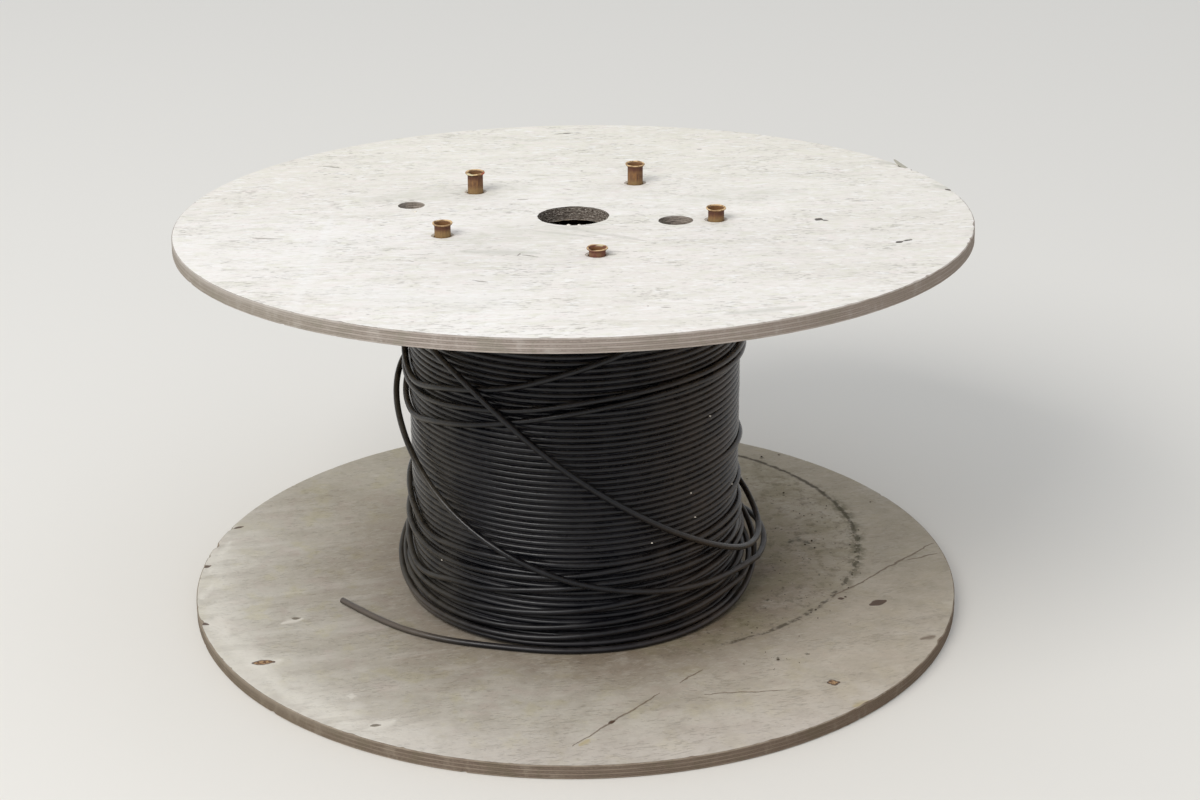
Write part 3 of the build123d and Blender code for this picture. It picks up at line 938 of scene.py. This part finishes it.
dashes = between(dash_noise - dash_edge, 0.0, 0.09)
add(grain_group, "NodeGroupOutput", {"Tone": broad * 0.65 + patches * 0.35, "Dashes": dashes, "Fibres": fibres,
                                     "Flakes": flakes, "Height": fibres * 0.45 + (dashes * -0.55 + 0.55)})
print("grain group has", len(grain_group.nodes), "nodes")

# %% [markdown]
# ## Stroke marks
#
# Knots, scuffs, scratches and pale streaks are all strokes: a segment with a width. One group measures how far
# a place is from the segment and turns that into a mask with a soft edge, and the stroke tapers towards its
# ends. The place is shaken a little by noise first, so that no mark has a ruler's edge.

# %% Stroke marks
stroke_group, given = new_group("Stroke mark", [("Board", "Vector", None), ("Start", "Vector", None),
                                                ("End", "Vector", None), ("Width", "Float", 0.004),
                                                ("Softness", "Float", 0.5)], [("Mask", "Float")])
from_start, whole = given["Board"] - given["Start"], given["End"] - given["Start"]
square = larger(whole.maths("DOT_PRODUCT", whole), 1e-8)
along = from_start.maths("DOT_PRODUCT", whole).maths("DIVIDE", square, clamp=True)
nearest = made("ShaderNodeVectorMath", {0: whole, "Scale": along}, operation="SCALE")
taper = abs(along * 2.0 - 1.0).maths("POWER", 2.0) * -0.6 + 1.0
ratio = (from_start - nearest).length().maths("DIVIDE", given["Width"] * taper)
add(stroke_group, "NodeGroupOutput", {"Mask": between(ratio, given["Softness"] * -1.0 + 1.0, 1.0, 1.0, 0.0)})


def strokes(board, rows):
    """Largest mask of several strokes, each (x, y, x, y, half width, softness) in millimetres."""
    largest = None
    for x0, y0, x1, y1, half, softness in rows:
        mask = use_group(board.tree, stroke_group, {
            "Board": board, "Start": (x0 / 1000, y0 / 1000, 0), "End": (x1 / 1000, y1 / 1000, 0),
            "Width": half / 1000, "Softness": softness})["Mask"]
        largest = mask if largest is None else larger(largest, mask)
    return largest


def board_places(tree, shake_size, shake):
    """The board attribute as it is, for grain; flat, for slow changes; and flat and shaken by noise, for marks."""
    board = source(tree, "ShaderNodeAttribute", "Vector", attribute_name="board")
    flat = board * (1, 1, 0)
    wild = noise(flat, 1 / shake_size, output="Color")
    offset = made("ShaderNodeVectorMath", {0: wild, 1: (0.5, 0.5, 0.5)}, operation="SUBTRACT") * (shake, shake, 0)
    return board, flat, flat + offset


print("stroke group has", len(stroke_group.nodes), "nodes")

# %% [markdown]
# ## Upper face
#
# The upper disc has stood in the weather: its face is bleached nearly white, with grey-green breath over it
# in places and thousands of fine grey dashes where the pores stand open. A few dead knots are nearly black, and
# two nearly black spots at notches in the rim are painted shade. Each mark is a stroke, and the layers are listed
# from the wood upwards.

# %% Upper face
upper_face, tree = new_material("Bleached plywood", Roughness=0.80, Specular_IOR_Level=0.25)
board, flat, shaken = board_places(tree, 0.012, 0.006)
grain = use_group(tree, grain_group, {"Board": board, "Dash Amount": 0.5})
x, y, _ = flat.split()
mottle = long_noise(flat, (0.030, 0.014, 0.1), 4.0, 0.65)
pale = strokes(shaken, [(-282, -400, -274, 20, 12, 1.0), (-260, -280, -143, -317, 60, 1.0),
                        (-143, -317, -60, -330, 50, 1.0)])
specks = strokes(shaken, [(64, 262, 82, 250, 4, 0.8), (-180, 27, -177, 27, 3.2, 0.4)])
# The last two strokes are grey patches on the rim, by the splinter and by a notch.
scuffs = strokes(shaken, [
    (-29, -38, 75, -106, 9, 1.0), (-45, -60, 30, -95, 6, 1.0), (-120, -140, -40, -150, 16, 1.0),
    (150, -380, 230, -360, 12, 1.0), (370, 234, 390, 212, 11, 0.9), (424, 112, 440, 92, 9, 0.9)])
veil = strokes(shaken, [(-120, -90, 20, -50, 80, 1.0), (-230, 90, -60, 130, 60, 1.0), (130, 60, 260, 90, 60, 1.0)])
flaws = strokes(shaken, [
    (-305, 251, -282, 239, 2.2, 0.6), (-354, -72, -321, -78, 2.6, 0.7), (-64, 74, -52, 77, 2.6, 0.7),
    (-105, -248, -89, -256, 2.4, 0.7), (-55, -157, -38, -166, 2.0, 0.7), (74, -349, 75, -349, 3.0, 0.8),
    (88, -353, 96, -355, 2.0, 0.8), (155, 308, 161, 308, 2.4, 0.6), (9, 206, 11, 206, 2.6, 0.6),
    (-24, 401, -1, 405, 3.2, 0.7), (320, 48, 345, 47, 1.8, 0.8), (-60, -160, -56, -150, 1.6, 0.7)])
# Dead knots, and in the last two strokes painted shade in notches of the rim.
knots_and_notch_shade = strokes(shaken, [
    (273, -31, 278, -34, 7.0, 0.35), (279, -35, 284, -37, 3.6, 0.5), (350, -131, 356, -127, 4.4, 0.4),
    (358, -126, 367, -121, 3.6, 0.5), (-12, 403, -4, 404, 2.6, 0.5), (394, 205, 401, 198, 4.6, 0.5),
    (434, 92, 442, 84, 5.0, 0.5)])
colour = layered((252, 248, 243), [
    ((243, 237, 230), between(noise(flat, 2.6, 3.0, 0.55), 0.30, 0.70), 1.0),
    ((236, 230, 220), between(x, -0.15, 0.40), 0.35),
    ((241, 236, 221), between(y, -0.10, 0.42), 0.60),
    ((232, 230, 212), between(mottle, 0.50, 0.66), 0.55),
    ((247, 236, 231), between(mottle, 0.48, 0.34), 0.50),
    ((228, 224, 211), between(grain["Tone"], 0.44, 0.66), 0.50),
    ((217, 211, 202), between(grain["Fibres"], 0.46, 0.68), 0.42),
    ((255, 253, 250), grain["Flakes"], 0.60),
    ((156, 150, 140), grain["Dashes"], between(noise(flat, 16.0, 3.0, 0.6), 0.38, 0.60, 0.20, 0.52)),
    ((252, 250, 247), pale, 0.30),
    ((255, 253, 248), specks, 1.0),
    ((196, 195, 184), scuffs, 0.45),
    ((217, 214, 202), veil, between(mottle, 0.35, 0.60, 0.20, 0.50)),
    ((132, 122, 110), flaws, 0.62),
    ((62, 52, 46), knots_and_notch_shade, 0.88),
])
finish(upper_face, colour, larger(knots_and_notch_shade, flaws) * -1.2 + grain["Height"], 0.0006, 0.8)

# %% [markdown]
# ## Lower face
#
# The lower disc lay under the cable and under people's hands, so it is greyer and browner to the right. It is
# darkest near the winding, with dirt and with painted shade of the winding and the upper disc. Towards its left
# rim the wood is worn pale, with a painted sheen of the light over it. On the right something round has left a
# dirty ring, and inside it the wood is speckled. Scratches cross the front and the right, and a few brown knots
# have pale halos.

# %% Lower face
lower_face, tree = new_material("Worn plywood", Roughness=0.72, Specular_IOR_Level=0.30)
board, flat, shaken = board_places(tree, 0.014, 0.007)
askew = turned(board, -14)
grain = use_group(tree, grain_group, {"Board": askew, "Dash Amount": 0.7})
from_axis = flat.length()
x, y, _ = flat.split()
slow = noise(flat, 4.0, 4.0, 0.6)
clouds = noise(flat, 14.0, 4.0, 0.65)
dirt = noise(flat, 60.0, 4.0, 0.70)
tint = noise(flat, 26.0, 3.0, 0.6)
blotches = noise(flat, 24.0, 3.0, 0.62)
veins = long_noise(askew, (0.110, 0.0240, 1.0), 3.0, 0.55)
scuffs = [long_noise(turned(flat, degrees), (0.0150, 0.0016, 1.0), 3.0, 0.6) for degrees in (34, -52)]

# Darkest near the winding: dirt, and painted shade of the winding and the upper disc.
cable_shade_and_dirt = between(clouds * 0.10 + from_axis, 0.415, 0.235) * between(x, -0.30, 0.10, 0.58, 0.94)
toward_front = larger(between(y, -0.10, -0.34), between(x, 0.26, 0.38, 0.0, 0.6))
front_rim = between(from_axis, 0.35, 0.43) * between(y, -0.26, -0.38)
leftward = x * -0.85 + y * -0.40
# The pale left rim is worn wood with a painted sheen of the light over it.
left_rim = between(slow * 0.12 + from_axis, 0.40, 0.49) * between(leftward, 0.20, 0.37)
left_rim = left_rim * between(clouds, 0.36, 0.60, 0.40, 0.80)
rim_sheen_and_wear = larger(left_rim, strokes(shaken, [
    (-425, -120, -322, -285, 42, 1.0), (-322, -285, -240, -362, 44, 1.0), (-425, 95, -440, 10, 22, 1.0),
    (-432, -25, -440, -60, 18, 1.0)]) * 0.85)
leftish = between(leftward, 0.10, 0.30)

from_ring = shaken - (0.036, 0.096, 0.0)
ring_x, ring_y, _ = from_ring.split()
ring_distance = from_ring.length() - 0.310
off_ring = abs(ring_distance)
inside_ring = between(y * -0.3 + x, 0.02, 0.20) * between(ring_distance, 0.030, -0.030)
back_line = between(off_ring, 0.0034, 0.0012) * between(ring_y, -0.01, 0.03) * between(ring_x, 0.10, 0.16)
front_line = between(off_ring, 0.0045, 0.0015) * between(ring_x, 0.06, 0.16)
ring_line = larger(back_line * between(dirt, 0.36, 0.50, 0.45, 1.0),
                   front_line * between(dirt, 0.44, 0.56, 0.10, 0.85))
band = between(off_ring, 0.014, 0.004) * between(ring_x, 0.270, 0.300) * between(dirt, 0.42, 0.54)
speckles = between(noise(flat, 150.0, 2.0), 0.64, 0.70) * (inside_ring * 0.80 + 0.15)

spots = strokes(shaken, [
    (245, 339, 249, 339, 6, 0.6), (270, 349, 272, 349, 5, 0.7), (265, 221, 266, 221, 5, 0.7),
    (270, 92, 286, 78, 9, 0.9), (262, 80, 276, 96, 8, 0.9), (285, 60, 292, 66, 6, 0.8), (224, -75, 226, -75, 5, 0.8),
    (225, -218, 226, -218, 5, 0.7), (186, -232, 187, -232, 5, 0.8), (257, -209, 260, -209, 4, 0.7)])
scratches = strokes(shaken, [
    (-5, -409, 91, -297, 2.0, 0.8), (33, -364, 39, -359, 3.2, 0.6), (113, -274, 140, -245, 1.8, 0.8),
    (139, -300, 224, -292, 1.8, 0.8), (300, -68, 340, -30, 2.2, 0.8), (335, -34, 438, 76, 2.4, 0.8),
    (401, 29, 440, 47, 2.0, 0.8), (391, -176, 408, -169, 7.5, 1.0)])
yellow_stains = strokes(shaken, [(300, -330, 316, -318, 12.0, 1.0), (3, -408, 13, -396, 6.5, 0.9),
                                 (-248, -389, -238, -395, 6.0, 0.8)])
halos = strokes(shaken, [
    (-366, -226, -330, -214, 17, 1.0), (-338, -125, -318, -114, 10, 1.0), (-222, -372, -196, -352, 15, 1.0),
    (-248, -298, -242, -298, 11, 1.0), (-415, -110, -400, -150, 20, 1.0)])
brown_knots = strokes(shaken, [
    (344, -89, 361, -80, 7.0, 0.35), (278, -276, 286, -275, 8.5, 0.35), (33, -362, 40, -358, 3.4, 0.4),
    (-360, -221, -338, -218, 8.0, 0.35), (308, -73, 314, -71, 4.5, 0.5), (-424, 134, -414, 138, 4.0, 0.5),
    (-450, 24, -442, 26, 5.0, 0.4), (-440, -121, -424, -126, 5.0, 0.5)])
grey_knots = strokes(shaken, [(-328, -113, -319, -111, 4.4, 0.5), (-219, -364, -210, -362, 4.6, 0.5)])
knot_hearts = strokes(shaken, [(-358, -221, -340, -218, 6.8, 0.5), (279, -275, 284, -275, 6.0, 0.5)])
heart_colour = layered((112, 80, 58), [((186, 152, 112), between(noise(flat, 260.0, 3.0, 0.6), 0.42, 0.58), 1.0)])

colour = layered((202, 197, 186), [
    ((178, 171, 158), between(slow, 0.32, 0.68), 1.0),
    ((252, 250, 226), between(tint, 0.52, 0.66), 0.60, "MULTIPLY"),
    ((253, 244, 246), between(tint, 0.48, 0.34), 0.60, "MULTIPLY"),
    ((202, 189, 171), between(x, -0.10, 0.40), 0.65),
    ((158, 148, 126), between(x * 0.4 + y, -0.12, 0.34), 0.55),
    ((114, 98, 80), cable_shade_and_dirt, 1.0),
    ((150, 141, 124), between(clouds, 0.50, 0.70), 0.30),
    ((206, 200, 188), between(clouds, 0.46, 0.30), 0.30),
    ((168, 158, 142), between(grain["Tone"], 0.42, 0.68), 0.40),
    ((210, 203, 192), toward_front, between(blotches, 0.44, 0.70, 0.0, 0.30)),
    ((160, 150, 137), toward_front, between(blotches, 0.54, 0.34, 0.0, 0.28)),
    ((220, 211, 204), front_rim, 0.40),
    ((146, 137, 122), between(grain["Fibres"], 0.42, 0.68), 0.13),
    ((214, 208, 198), grain["Flakes"], 0.14),
    ((220, 214, 204), between(scuffs[0], 0.58, 0.70), 0.18),
    ((220, 214, 204), between(scuffs[1], 0.58, 0.70), 0.15),
    ((112, 100, 86), grain["Dashes"], 0.20),
    ((240, 236, 226), rim_sheen_and_wear, 0.84),
    ((224, 219, 212), leftish, between(veins, 0.52, 0.66, 0.0, 0.20)),
    ((158, 150, 138), leftish, between(veins, 0.48, 0.36, 0.0, 0.18)),
    ((88, 80, 58), between(dirt, 0.48, 0.68), inside_ring * 0.44 + 0.08),
    ((128, 120, 88), inside_ring, between(clouds, 0.42, 0.62, 0.0, 0.40)),
    ((66, 56, 42), ring_line, 0.85),
    ((90, 86, 60), band, 0.50),
    ((76, 66, 52), speckles, 0.60),
    ((70, 66, 48), spots, between(dirt, 0.36, 0.56, 0.25, 0.80)),
    ((104, 86, 68), scratches, 0.72),
    ((184, 164, 104), yellow_stains, 0.50),
    ((232, 227, 217), halos, 0.75),
    ((80, 57, 44), brown_knots, 0.88),
    ((98, 86, 68), grey_knots, 0.80),
    (heart_colour, knot_hearts, 0.90),
])
finish(lower_face, colour, larger(brown_knots, scratches) * -0.8 + grain["Height"], 0.0006, 0.8)

# %% [markdown]
# ## Plies on the edges
#
# Plywood shows its seven plies on every cut edge. Their grain runs along x and along y in turn, so where an
# edge cuts a ply across its fibres it looks dark and rough, and where it runs with them it looks pale and
# streaked. That depends on the way the edge faces, so the group reads the surface normal: the share of end
# grain in a ply along x is the square of the normal's x. Between the plies lie thin dark lines of glue.

# %% Plies on the edges
ply_group, given = new_group("Plies", [("Board", "Vector", None), ("Facing", "Vector", None),
                                       ("Long Grain", "Color", (0.5, 0.4, 0.3, 1)),
                                       ("End Grain", "Color", (0.2, 0.15, 0.1, 1)),
                                       ("Glue", "Color", (0.08, 0.06, 0.05, 1))],
                             [("Color", "Color"), ("Height", "Float")])
waver = long_noise(given["Board"], (0.045, 0.045, 0.02), 2.0)
upright = waver * 0.0009 + (given["Board"].split()[2] - 0.00045)
count = upright * (plies / disc_thickness) + plies / 2
odd = abs(count.maths("FLOOR")).maths("MODULO", 2.0)
across_x, across_y = (abs(side).maths("POWER", 2.0) for side in given["Facing"].split()[:2])
end_share = odd * (across_y - across_x) + across_x
streaks = long_noise(given["Board"], (0.036, 0.036, 0.0005), 3.0, 0.65)
pores = long_noise(given["Board"], (0.0022, 0.0022, 0.0012), 3.0, 0.7)
glue_line = between(abs(count.maths("FRACT") - 0.5), 0.42, 0.49)
glue = given["Glue"]
end_colour = layered(given["End Grain"], [(glue, between(pores, 0.38, 0.62), 0.60),
                                          (glue, between(streaks, 0.45, 0.62), 0.35)])
ply_colour = layered(given["Long Grain"], [
    (given["End Grain"], between(streaks, 0.40, 0.62), 0.90),
    (glue, between(streaks, 0.56, 0.70), 0.70),
    (end_colour, between(end_share, 0.15, 0.75), 1.0),
    (glue, glue_line, 0.45),
])
add(ply_group, "NodeGroupOutput", {"Color": ply_colour, "Height": glue_line * -0.6 + (streaks * 0.6 + pores * 0.4)})


def edge_material(name, long_grain, end_grain, glue, grime, rub, bore, side_colour, mossy):
    """Cut edge: the plies, slow grime, mossy and rubbed patches, a flecked wall in the bore painted dark as the
    shade of the hole, silt round the tubes, a browner right side, a mossier left one with a paler upper half,
    and rubbed arrises."""
    material, tree = new_material(name, Roughness=0.85, Specular_IOR_Level=0.2)
    board = source(tree, "ShaderNodeAttribute", "Vector", attribute_name="board")
    facing = source(tree, "ShaderNodeTexCoord", "Normal")
    plies_here = use_group(tree, ply_group, {"Board": board, "Facing": facing, "Long Grain": shade(*long_grain),
                                             "End Grain": shade(*end_grain), "Glue": shade(*glue)})
    slow = long_noise(board, (0.10, 0.10, 0.02), 4.0, 0.65)
    patches = long_noise(board, (0.030, 0.030, 0.05), 4.0, 0.65)
    flecks = long_noise(board, (0.0026, 0.0026, 0.0010), 2.0, 0.6)
    x, _, height = board.split()
    from_axis = (board * (1, 1, 0)).length()
    in_bore = between(from_axis, 0.0455, 0.0440)
    banded = (slow * 9.0 + height * 2750.0).maths("SINE")
    silt = between(abs(from_axis - tube_circle), 0.0180, 0.0165) * between(height, face - 0.0011, face - 0.0007)
    upper_left = between(height, 0.0, face) * between(x, -0.16, -0.36)
    rubbed = between(abs(height), face - 0.0016, face - 0.0002) * between(noise(board, 60.0, 3.0, 0.6), 0.40, 0.60)
    colour = layered(plies_here["Color"], [
        (grime, between(slow, 0.45, 0.75), 0.55),
        (mossy, between(patches, 0.52, 0.66), 0.40),
        (rub, between(patches, 0.47, 0.36), 0.35),
        # The wall in the bore is painted dark as the shade of the hole.
        (bore, in_bore, 0.70),
        ((150, 142, 130), in_bore * between(banded, -0.2, 0.8), 0.70),
        ((214, 204, 194), in_bore * between(flecks, 0.56, 0.66), 0.80),
        ((52, 42, 36), in_bore * between(flecks, 0.46, 0.36), 0.80),
        ((198, 188, 174), silt, 1.0),
        (side_colour, between(x, -0.05, 0.40), 0.45),
        (mossy, between(x, -0.10, -0.34), 0.34),
        (rub, upper_left, 0.50),
        (rub, rubbed, 0.70),
    ])
    finish(material, colour, plies_here["Height"], 0.0012, 0.9)
    return material


upper_edge = edge_material("Grey ply edge", (184, 172, 163), (166, 154, 145), (136, 124, 114), (144, 134, 122),
                           (200, 192, 184), (92, 80, 70), (150, 132, 116), (142, 138, 122))
lower_edge = edge_material("Brown ply edge", (146, 131, 116), (132, 116, 102), (102, 88, 76), (112, 98, 84),
                           (168, 156, 140), (96, 84, 72), (104, 84, 64), (112, 104, 84))

# %% [markdown]
# ## Hidden faces
#
# The underside of the upper disc and the standing face of the lower one are the same plywood, less bleached
# and with the same grain, so that the drum looks right from below too. With them, the discs and the small
# loose pieces get their materials. The order of a disc's finishes is that of its faces' slot numbers.

# %% Hidden faces
hidden_face, tree = new_material("Brown plywood", Roughness=0.78, Specular_IOR_Level=0.25)
board, flat, _ = board_places(tree, 0.014, 0.007)
grain = use_group(tree, grain_group, {"Board": board, "Dash Amount": 0.6})
colour = layered((206, 190, 164), [
    ((182, 164, 136), between(noise(flat, 3.2, 4.0, 0.6), 0.32, 0.68), 1.0),
    ((168, 148, 118), between(grain["Tone"], 0.40, 0.68), 0.60),
    ((150, 130, 102), between(grain["Fibres"], 0.38, 0.75), 0.40),
    ((104, 86, 66), grain["Dashes"], 0.45),
])
finish(hidden_face, colour, grain["Height"], 0.0006, 0.8)

for disc, finishes in ((upper_disc, (upper_face, upper_edge, hidden_face)),
                       (lower_disc, (hidden_face, lower_edge, lower_face))):
    for disc_finish in finishes:
        disc.data.materials.append(disc_finish)
    print(disc.name, "wears", [material.name for material in disc.data.materials])
for small, colours in ((dirt_crumbs, (74, 64, 50)), (pale_chips, (238, 230, 216)), (cable_core, (120, 96, 74)),
                       (lifted_splinter, (180, 176, 162))):
    paint, _ = new_material(small.name.replace("_", " "), Roughness=0.85, Base_Color=shade(*colours))
    small.data.materials.append(paint)

# %% [markdown]
# ## Cable sheath
#
# The sheath is black plastic with a soft sheen. What keeps it from looking like a silhouette is dust: a
# little on the sides that face up, and more near the floor and on the cut end that lies on the lower disc. The
# grooves between the turns are painted pale grey, a painted glare that lifts their shade. A brown tinge lies over
# the right side, and the left side is painted lighter and warmer, as light bounced up from below. The roughness
# varies, so that the line of light on each turn is uneven.

# %% Cable sheath
sheath, tree = new_material("Black cable sheath", Specular_IOR_Level=0.37)
place = source(tree, "ShaderNodeTexCoord", "Object")
upward = source(tree, "ShaderNodeTexCoord", "Normal").split()[2]
x, _, z = place.split()
dust_noise = noise(place, 34.0, 4.0, 0.65)
fine = long_noise(place, (0.010, 0.010, 0.003), 3.0, 0.6)
dust = between(upward, 0.1, 1.0) * between(dust_noise, 0.38, 0.68)
low = between(z, 0.050, 0.018)
widening = between(z, foot_height, foot_height + foot_reach, foot_width, 0.0, "LINEAR")
# Pale grey in the grooves between the turns is painted glare that lifts their shade.
groove_glare = between((place * (1, 1, 0)).length() - widening, 0.1893, 0.1878)
colour = layered((9, 9, 14), [
    ((16, 16, 21), between(dust_noise, 0.35, 0.65), 1.0),
    ((92, 88, 84), dust, 0.10),
    ((96, 90, 90), low * between(upward, -0.4, 0.8), 0.13),
    ((140, 126, 116), low * between(x, -0.13, -0.20), between(upward, -0.6, 0.6, 0.10, 0.32)),
    ((98, 96, 100), groove_glare, 0.86),
    ((116, 92, 64), between(x, 0.04, 0.17), between(dust_noise, 0.30, 0.60, 0.05, 0.15)),
    # Lighter and warmer on the left side: painted bounce light.
    ((124, 114, 92), between(x, -0.10, -0.18), between(dust_noise, 0.30, 0.60, 0.07, 0.16)),
])
sheen = between(z, 0.150, 0.050) * 0.09 + (fine * 0.22 + 0.11)
finish(sheath, colour, fine, 0.00025, 0.6, roughness=(dust * 0.20).maths("ADD", sheen, clamp=True))
cables = (cut_end, fallen, outer_turns, inner_turns, loose_turns)
for piece in cables:
    piece.data.materials.append(sheath)
print("sheath on", len(cables), "pieces")

# %% [markdown]
# ## Rusty steel
#
# The tubes are thin steel, rusted all over. Rust isn't one brown: it is ochre at the foot where water stood, and
# rubbed paler on the rim. Below the rim the body is painted dark red-brown as the rim's shade, and on the rim a
# painted highlight adds to the rubbed rust. Distance from the rim steers the mix, noise breaks it up, and pits make
# it rough.

# %% Rusty steel
rust, tree = new_material("Rusty steel", Specular_IOR_Level=0.3)
place = source(tree, "ShaderNodeTexCoord", "Object")
radius, depth, _ = source(tree, "ShaderNodeAttribute", "Vector", attribute_name="profile").split()
_, y, z = place.split()
blotches = noise(place, 150.0, 4.0, 0.65)
grit = noise(place, 900.0, 4.0, 0.7)
runs = long_noise(place, (0.0014, 0.0014, 0.014), 3.0, 0.6)
# Below the rim the body is painted darker as the rim's shade.
rim_shade = between(depth, 0.0022, 0.0036) * between(depth, 0.0110, 0.0060)
foot = between(y * 0.0514 + z, 0.4735, 0.4665)
inside = between(radius, 0.0088, 0.0080) * between(depth, 0.0010, 0.0030)
near_top = between(depth, 0.0036, 0.0016)
flat_place = place * (1, 1, 0)
cream = strokes(flat_place, [(-124, 106, -116, 107, 9, 0.7), (47, 170, 55, 172, 5, 0.7), (24, -152, 34, -150, 4, 0.8)])
red = strokes(flat_place, [(-105, 114, -106, 107, 5, 0.7)])
colour = layered((126, 94, 64), [
    ((102, 72, 52), between(blotches, 0.35, 0.65), 1.0),
    ((150, 110, 68), between(runs, 0.50, 0.68), 0.65),
    ((72, 46, 36), between(runs, 0.46, 0.34), 0.55),
    ((82, 48, 40), rim_shade, 0.70),
    ((152, 126, 84), foot, between(blotches, 0.35, 0.60, 0.35, 0.80)),
    ((116, 68, 60), between(y, -0.14, -0.15), between(blotches, 0.35, 0.60, 0.85, 0.50)),
    ((126, 88, 50), inside, 0.85),
    # Paler lip and cream spots: rubbed and torn rust, with a painted highlight.
    ((224, 192, 146), between(depth, 0.0021, 0.0009), between(blotches, 0.44, 0.54, 0.30, 1.0)),
    ((84, 54, 42), between(grit, 0.55, 0.75), 0.40),
    ((222, 210, 172), cream * near_top, 0.85),
    ((182, 100, 74), red, near_top),
])
finish(rust, colour, grit * 0.5 + blotches * 0.5, 0.0005, 0.9, roughness=between(grit, 0.3, 0.7, 0.62, 0.92))
for piece in tube_pieces:
    piece.data.materials.append(rust)
print("rust on", len(tube_pieces), "tubes")

# %% [markdown]
# ## Barrel
#
# The barrel under the cable hardly shows, only as darkness through the holes. It keeps its plain solid, with a
# brown hardboard material.

# %% Barrel
hardboard, tree = new_material("Hardboard", Roughness=0.9, Specular_IOR_Level=0.2)
place = source(tree, "ShaderNodeTexCoord", "Object")
felt = noise(place, 420.0, 5.0, 0.75)
colour = layered((120, 92, 66), [
    ((92, 68, 48), between(felt, 0.35, 0.65), 1.0),
    ((70, 54, 40), between(noise(place, 12.0, 3.0, 0.6), 0.4, 0.7), 0.5),
])
finish(hardboard, colour, felt, 0.0003, 0.7)
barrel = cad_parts["barrel"]
barrel.data.materials.clear()
barrel.data.materials.append(hardboard)
print("barrel:", barrel.name)

# %% [markdown]
# ## Floor and light
#
# The floor is a plain pale plane. One large soft lamp stands high to the left in front, and a pale world
# fills the shadows. The world is whiter to the camera than to the drum, so it doesn't light the drum more
# than it should.

# %% Floor and light
floor_mesh = bpy.data.meshes.new("floor")
floor_mesh.from_pydata([(-9, -9, 0), (9, -9, 0), (9, 9, 0), (-9, 9, 0)], [], [(0, 1, 2, 3)])
floor = bpy.data.objects.new("floor", floor_mesh)
bpy.context.collection.objects.link(floor)
floor.location.z = -0.0005
floor_paint, _ = new_material("Floor paint", Roughness=0.9, Specular_IOR_Level=0.1, Base_Color=shade(236, 233, 227))
floor_mesh.materials.append(floor_paint)

lamp_data = bpy.data.lights.new("soft_lamp", "AREA")
lamp_data.shape, lamp_data.size, lamp_data.size_y = "RECTANGLE", 5.0, 3.6
lamp_data.energy = 395.0
lamp_data.color = (1.0, 0.985, 0.96)
lamp = bpy.data.objects.new("soft_lamp", lamp_data)
bpy.context.collection.objects.link(lamp)
lamp_place = np.array([-4.0, -4.6, 5.5])
toward = -lamp_place / np.linalg.norm(lamp_place)
side = np.cross(toward, [0, 0, 1])
side /= np.linalg.norm(side)
lamp_turn = np.stack([side, np.cross(side, toward), -toward], axis=1)
lamp.matrix_world = Matrix.Translation(lamp_place.tolist()) @ Matrix(lamp_turn.tolist()).to_4x4()

world = bpy.data.worlds.new("Studio")
bpy.context.scene.world = world
world.use_nodes = True
tree = world.node_tree
tree.nodes.clear()
seen = larger(*(source(tree, "ShaderNodeLightPath", ray) for ray in ("Is Camera Ray", "Is Transmission Ray")))
fill = source(tree, "ShaderNodeBackground", 0, {"Color": (0.93, 0.96, 1.0, 1.0), "Strength": 0.66})
backdrop = source(tree, "ShaderNodeBackground", 0, {"Color": shade(246, 244, 240), "Strength": 1.0})
add(tree, "ShaderNodeOutputWorld", {0: made("ShaderNodeMixShader", {0: seen, 1: fill, 2: backdrop})})
bpy.context.scene.view_settings.view_transform = "Standard"
print("lamp at", lamp_place.tolist())
